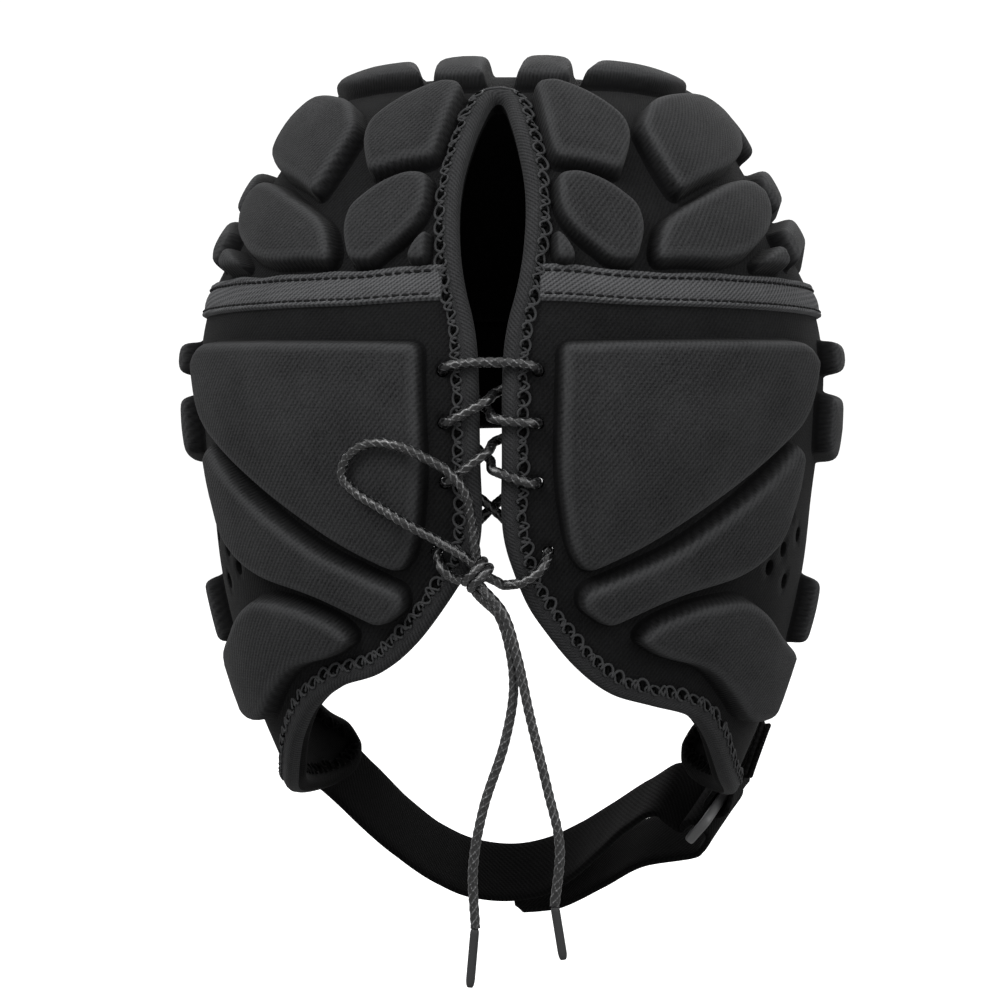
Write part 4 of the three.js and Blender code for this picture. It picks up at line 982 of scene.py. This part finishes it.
def stitched(name, path, into, width, run):
    """Overlock thread over the border of the edging: scallops over the cloth, and a sunk stitch in each,
    coloured near-black as painted shade of its pit.
    """

    def laid(at, beyond, height):
        a, l, w = (np.interp(at, run, values) for values in (path[:, 0], path[:, 1], width))
        ia, il = (np.interp(at, run, into[:, k]) for k in (0, 1))
        return on_form(a + ia * (w + beyond), l + il * (w + beyond), height)

    count = int(run[-1] / STITCH) - 1
    starts = STITCH * (0.5 + np.arange(count))
    share = np.linspace(0, 1, 9)[:-1]
    arc = np.sin(np.pi * share)
    rng = np.random.default_rng(THREAD_SEED)
    reach = np.repeat(1 + REACH_VARIES * rng.uniform(-1, 1, count), len(share))
    shift = np.repeat(SHIFT_MOST * rng.uniform(-1, 1, count), len(share))
    for face, (mat, top, sign) in STITCHED_FACES.items():
        leaning = share - SCALLOP_LEAN * np.sin(2 * np.pi * share)
        at = (starts[:, None] + STITCH * leaning).ravel() + shift
        beyond = SCALLOP_FROM + SCALLOP_REACH * reach * np.tile(arc, count)
        height = top - sign * np.tile(SCALLOP_SINK * arc**1.5, count)
        scallops, _ = spline(laid(at, beyond, height), THREAD_SPACING)
        at = (starts[:, None] + STITCH * (share + BETWEEN_LATER)).ravel() - shift
        beyond = BETWEEN_FROM + BETWEEN_REACH * np.tile(arc**2, count) / reach
        height = top - sign * np.tile(BETWEEN_SINK * arc**3, count) + sign * BETWEEN_RAISE
        between, _ = spline(laid(at, beyond, height), THREAD_SPACING)
        threads = [(scallops, THREAD_RADIUS), (between, FINE_THREAD_RADIUS)]
        threads = [tube(line, radius, THREAD_SIDES) for line, radius in threads]
        piece(name + "_" + face, joined(threads), mat, False)
    parts = []
    for start in starts:
        line = laid(start + STITCH * SUNK_SHARES, SUNK_BEYOND, SUNK_HEIGHTS)
        parts.append(tube(line, SUNK_RADIUS, THREAD_SIDES))
    # The sunk stitches are real thread given the near-black lining colour: painted shade of the pits where
    # the thread goes in
    piece(name + "_sunk", joined(parts), LINING, False)


edging("back_binding", "back")
edging("face_binding", "face")

# Tape over the seam: three bands between two sunk rows of stitches
TAPE_LOW, TAPE_HIGH = 5.85, 6.35
TAPE_PARTS = [0, 0.2, 0.84, 1]
# Near the slot the tape rises by this many levels, up to so many degrees around
TAPE_RISE, RISE_TO, TAPE_GROWS = 0.1, 27, 0.4
# Degrees between its sections, its rows, the pitch of its ribs, and how far each rib slants
TAPE_SPACING, TAPE_ROWS, RIB_PITCH, RIB_SLANT = 0.28, 26, 1.9, 3
# Heights over the shell: of its border, of its sunk rows, and of its bulge and its ribs over those
TAPE_BORDER, TAPE_SUNK, TAPE_BULGE, RIB_HEIGHT = 0.1, 0.85, 0.65, 0.13
TAPE_UNDER, TAPE_WAVE, WAVE_SCALE, ROW_LENGTH = 2.0, 0.035, 0.11, 0.7
# Its stitches: length in degrees, places and heights along one, and radius
TAPE_STITCH = 1.75
STITCH_PLACES = np.array([0, 0.2, 0.55, 0.9, 1.1])
STITCH_HEIGHTS = SHELL + 1.05 + np.array([-0.35, 0.25, 0.35, 0.25, -0.35])
TAPE_THREAD_RADIUS = 0.36
# Its ends lie this many degrees under the edging, and its stitches keep this far from both
TAPE_TUCK, STITCH_MARGINS = 1.6, (0.8, 2)
start = TAPE_START - TAPE_TUCK


def tape_rise(around):
    """Levels by which the tape lies higher near the slot."""
    return TAPE_RISE * (1 - step(np.minimum(around, 360 - around), start, RISE_TO))


def tape_level(rise, share):
    """Level of a share of the tape's width, which grows a little where it rises."""
    return TAPE_LOW - rise + (TAPE_HIGH - TAPE_LOW + TAPE_GROWS * rise) * share


around = np.arange(start, 360 - start, TAPE_SPACING)
wave = np.array([noise.noise(Vector((a * WAVE_SCALE, 0, 0))) for a in around])
grid = []
for share in np.linspace(0, 1, TAPE_ROWS):
    level = tape_level(tape_rise(around), share) + TAPE_WAVE * wave * (1 - share)
    slant = (around * DEGREE_LENGTH + share * RIB_SLANT) * 2 * np.pi / RIB_PITCH
    part = next(k for k in range(3) if share <= TAPE_PARTS[k + 1] + 1e-9)
    within = (share - TAPE_PARTS[part]) / (TAPE_PARTS[part + 1] - TAPE_PARTS[part])
    bulge = math.sin(within * math.pi) ** 0.5
    height = SHELL + TAPE_SUNK + TAPE_BULGE * bulge + RIB_HEIGHT * np.sin(slant) * bulge
    if share in (0.0, 1.0):
        height = np.full_like(around, SHELL + TAPE_BORDER)
    grid.append(on_form(around, level, height))
under = np.full_like(around, TAPE_UNDER)
lower = [on_form(around, np.full_like(around, level), under) for level in (TAPE_HIGH, TAPE_LOW)]
verts = np.stack([*grid, *lower], 1)
count = verts.shape[1]
cloth = cloth_grid(around * DEGREE_LENGTH, np.arange(count) * ROW_LENGTH)
shape = verts.reshape(-1, 3), ring_faces(len(around), count), cloth
piece("seam_tape", shape, TAPE_KNIT)
parts = []
for share in TAPE_PARTS[1:3]:
    a = start + STITCH_MARGINS[0]
    while a < 360 - start - STITCH_MARGINS[1]:
        level = np.full(len(STITCH_PLACES), tape_level(tape_rise(a), share))
        line = on_form(a + STITCH_PLACES, level, STITCH_HEIGHTS)
        parts.append(tube(line, TAPE_THREAD_RADIUS, THREAD_SIDES))
        a += TAPE_STITCH
piece("tape_stitches", joined(parts), TAPE_THREAD, False)

# Chin strap, keeper and ring: places on the left tab, and the height of the strap over the inner face
STRAP_START = [[-107, 12.3], [-115.5, 12.62], [-123.5, 12.95]]
STRAP_RAISE = 6.6
# Routes: x, y and z, the direction across, and the share of the full width
STRAP_ROUTE = [
    [-48.4, 47.5, -210.4, 0.26, 0.82, 0.5, 1], [-38.2, 58, -221.4, 0.15, 0.83, 0.54, 1],
    [-27.1, 70, -231, 0.05, 0.8, 0.6, 1], [-16.9, 78.5, -236.2, 0, 0.77, 0.64, 1],
    [-5, 82, -237.8, 0, 0.77, 0.64, 1], [6, 79.5, -235.6, 0, 0.77, 0.64, 1],
    [16, 72.5, -230, 0.1, 0.78, 0.62, 1], [25, 64, -223, 0.2, 0.78, 0.6, 1],
    [35.6, 55, -214.4, 0.35, 0.73, 0.58, 1], [45, 49.6, -209.6, 0.42, 0.71, 0.575, 1],
]
STRAP_RETURN = [
    [40, 60.4, -225.6, 0.3, 0.74, 0.58, 1], [26, 71, -232.8, 0.15, 0.78, 0.6, 1],
    [11, 80.6, -239.6, 0, 0.77, 0.64, 1], [0, 85, -241.8, 0, 0.77, 0.64, 0.96],
    [-3.4, 85.7, -242.2, 0, 0.77, 0.64, 0.7],
]
# Turn of the strap round the lower bar of the ring: distances along the ring's face and across it
STRAP_TURN = [[4, 3], [3.9, -0.6], [2.4, -3.5], [-0.8, -4.4], [-4, -2.4], [-5, 2], [-4.6, 7]]
KEEPER_WIDTH = 18
KEEPER_THICKNESS = 1.4
KEEPER_RAISE = 9
KEEPER_PLACES = [[107, 12.55], [114, 12.65]]
# Turn of the keeper round the upper bar, as shares of its distance from the bar's middle
KEEPER_TURN = [[1, -0.5], [0.9, 0.3], [0.62, 0.82], [0, 1.08], [-0.62, 0.82], [-0.9, 0.3], [-1, -0.5]]
KEEPER_CLEAR, KEEPER_SLACK, KEEPER_GAP = 0.3, 0.8, 0.6
STRAP_LIES, KEEPER_LIES = [0.1, 0.74, 0.66], [0.1, 0.6, 0.8]
# Rounds of smoothing of a band's direction, places across each face of it, and how much its rims are thinner
BAND_ROUNDS, BAND_ACROSS, BAND_THIN = 6, 9, 0.14
BAND_RIM = (60, 30, 0, -30, -60)
# Ring: radius of its corners, sides of its bar, and how square the bar is, where 1 is round
RING_CORNER, BAR_SIDES, BAR_POWER, CORNER_PARTS = 2, 16, 0.6, 5
RING_MIDDLE = np.array([57.8, 48.2, -215])


def unit(v):
    """Vector of length one."""
    v = np.asarray(v, float)
    return v / np.linalg.norm(v)


along = unit([0.42, 0.71, 0.575])
across = np.array([-0.44, 0.71, -0.55])
across = unit(across - along * (across @ along))
facing = np.cross(along, across)


def by_ring(middle, f, a):
    """Place beside the middle of the ring, by its distance out of the ring's face and across it."""
    return middle + facing * f + across * a


def on_tab(place, raise_by, direction):
    """Row of a band's route that lies on the shell."""
    normal = face_normal(*place)
    direction = np.array(direction, float)
    return [*on_form(*place, raise_by), *unit(direction - normal * (direction @ normal)), 1]


def band(route, width, thickness, spacing=0.8):
    """Band of even thickness along a middle line, with its direction across at each place."""
    route = np.array(route, float)
    line, places = spline(route[:, :3], spacing)
    k = np.arange(len(route))
    wide = np.stack([np.interp(places, k, route[:, c]) for c in (3, 4, 5)], 1)
    share = np.interp(places, k, route[:, 6])
    run = even(np.gradient(line, axis=0))
    for _ in range(BAND_ROUNDS):
        wide[1:-1] = (wide[:-2] + 2 * wide[1:-1] + wide[2:]) / 4
    wide = even(wide - run * (wide * run).sum(1, keepdims=True))
    thick = np.cross(run, wide)
    half, flat_half = width / 2, thickness / 2
    profile = []
    for a in np.linspace(-1, 1, BAND_ACROSS):
        profile.append([a * (half - flat_half), flat_half * (1 - BAND_THIN + BAND_THIN * abs(a) ** 4)])
    for q in BAND_RIM:
        r = math.radians(q)
        profile.append([half - flat_half + math.cos(r) * flat_half, math.sin(r) * flat_half])
    other = [[-a, -b] for a, b in profile]
    profile = np.array(profile + other)
    along_run = np.arange(len(line)) * spacing
    verts = (
        line[:, None]
        + wide[:, None] * (profile[:, 0] * share[:, None])[..., None]
        + thick[:, None] * np.broadcast_to(profile[:, 1], (len(line), len(profile)))[..., None]
    )
    cloth = cloth_grid(along_run, profile[:, 0])
    return verts.reshape(-1, 3), ring_faces(len(line), len(profile)), cloth


turn = [[*by_ring(RING_MIDDLE, f, a), *along, 1] for f, a in STRAP_TURN]
begin = [on_tab(place, STRAP_RAISE, STRAP_LIES) for place in STRAP_START]
shape = band([*begin, *STRAP_ROUTE, *turn, *STRAP_RETURN], STRAP_WIDTH, STRAP_THICKNESS)
piece("chin_strap", shape, STRAP)

upper_bar = by_ring(RING_MIDDLE, 0, -RING_SPACING)
reach = RING_BAR / 2 + KEEPER_CLEAR + KEEPER_THICKNESS / 2 + KEEPER_SLACK
keeper_turn = [[*by_ring(upper_bar, f * reach, a * reach), *along, 1] for f, a in KEEPER_TURN]
keeper_in = [on_tab(place, KEEPER_RAISE, KEEPER_LIES) for place in KEEPER_PLACES]
outer_raise = KEEPER_RAISE + KEEPER_THICKNESS + KEEPER_GAP
keeper_out = [on_tab(place, outer_raise, KEEPER_LIES) for place in KEEPER_PLACES[::-1]]
shape = band([*keeper_in, *keeper_turn, *keeper_out], KEEPER_WIDTH, KEEPER_THICKNESS)
piece("strap_keeper", shape, STRAP)

bar = RING_BAR / 2
half = RING_OPENING / 2 + bar
path = []
for sx, sy, quarter in ((1, 0, 0), (-1, 0, 1), (-1, -1, 2), (1, -1, 3)):
    inner = -RING_CORNER if sy == 0 else RING_CORNER
    corner = (sx * (half - RING_CORNER), sy * RING_SPACING + inner)
    for k in range(CORNER_PARTS + 1):
        q = math.pi / 2 * (quarter + k / CORNER_PARTS)
        path.append([corner[0] + RING_CORNER * math.cos(q), corner[1] + RING_CORNER * math.sin(q)])
path = np.array(path)
tangent = even(np.roll(path, -1, axis=0) - np.roll(path, 1, axis=0))
out = np.stack([tangent[:, 1], -tangent[:, 0]], 1)
verts = []
for p, o in zip(path, out):
    for k in range(BAR_SIDES):
        q = 2 * math.pi * k / BAR_SIDES
        c, s = (math.copysign(abs(x) ** BAR_POWER, x) * bar for x in (math.cos(q), math.sin(q)))
        spot = p + o * c
        verts.append(RING_MIDDLE + along * spot[0] + across * spot[1] + facing * s)
shape = np.array(verts), ring_faces(len(path), BAR_SIDES, closed=True), np.zeros((len(verts), 3))
piece("strap_ring", shape, RING)

# Floor, light and background: the camera sees floor and sky white, and other rays get a graded sky
FLOOR_SIDE, FLOOR_DROP, FLOOR_GREY = 9, 0.08, 0.3
SKY_LOW, SKY_HIGH, SKY_FROM, SKY_TO, SEEN_SKY = 0.05, 1.5, -0.5, 0.9, 1.1
CAP_MIDDLE = Vector((0, 0, -0.12))
level = cad_box[0][2] - FLOOR_DROP
corners = [(FLOOR_SIDE * x, FLOOR_SIDE * y, level) for x, y in ((-1, -1), (1, -1), (1, 1), (-1, 1))]
floor_mesh = bpy.data.meshes.new("floor")
floor_mesh.from_pydata(corners, [], [(0, 1, 2, 3)])
floor_material, tree, shader = material("floor", (FLOOR_GREY, FLOOR_GREY, FLOOR_GREY), 1.0)
shader.inputs["Emission Color"].default_value = (1, 1, 1, 1)
seen = tree.nodes.new("ShaderNodeLightPath").outputs["Is Camera Ray"]
tree.links.new(seen, shader.inputs["Emission Strength"])
floor_mesh.materials.append(floor_material)
put("floor", floor_mesh)

world = bpy.data.worlds.new("studio")
world.use_nodes = True
tree = world.node_tree
up = parted(tree, tree.nodes.new("ShaderNodeTexCoord").outputs["Generated"])[2]
sky = ranged(tree, up, SKY_FROM, SKY_TO, SKY_LOW, SKY_HIGH)
seen = tree.nodes.new("ShaderNodeLightPath").outputs["Is Camera Ray"]
strength = math_node(tree, "MAXIMUM", sky, math_node(tree, "MULTIPLY", seen, SEEN_SKY))
tree.links.new(strength, tree.nodes["Background"].inputs["Strength"])
tree.nodes["Background"].inputs["Color"].default_value = (1, 1, 1, 1)
bpy.context.scene.world = world


def lamp(name, place, power, size):
    """Square soft light aimed at the middle of the cap."""
    data = bpy.data.lights.new(name, "AREA")
    data.energy = power
    data.shape = "SQUARE"
    data.size = size
    light = put(name, data)
    light.location = place
    light.rotation_euler = (CAP_MIDDLE - Vector(place)).to_track_quat("-Z", "Y").to_euler()


lamp("key", (-0.9, -1.3, 1.1), 26, 0.9)
lamp("fill", (1.2, -1.2, 0.5), 12, 1.0)
lamp("front", (0.3, 1.6, 0.9), 14, 1.0)
bpy.context.scene.view_settings.view_transform = "Standard"
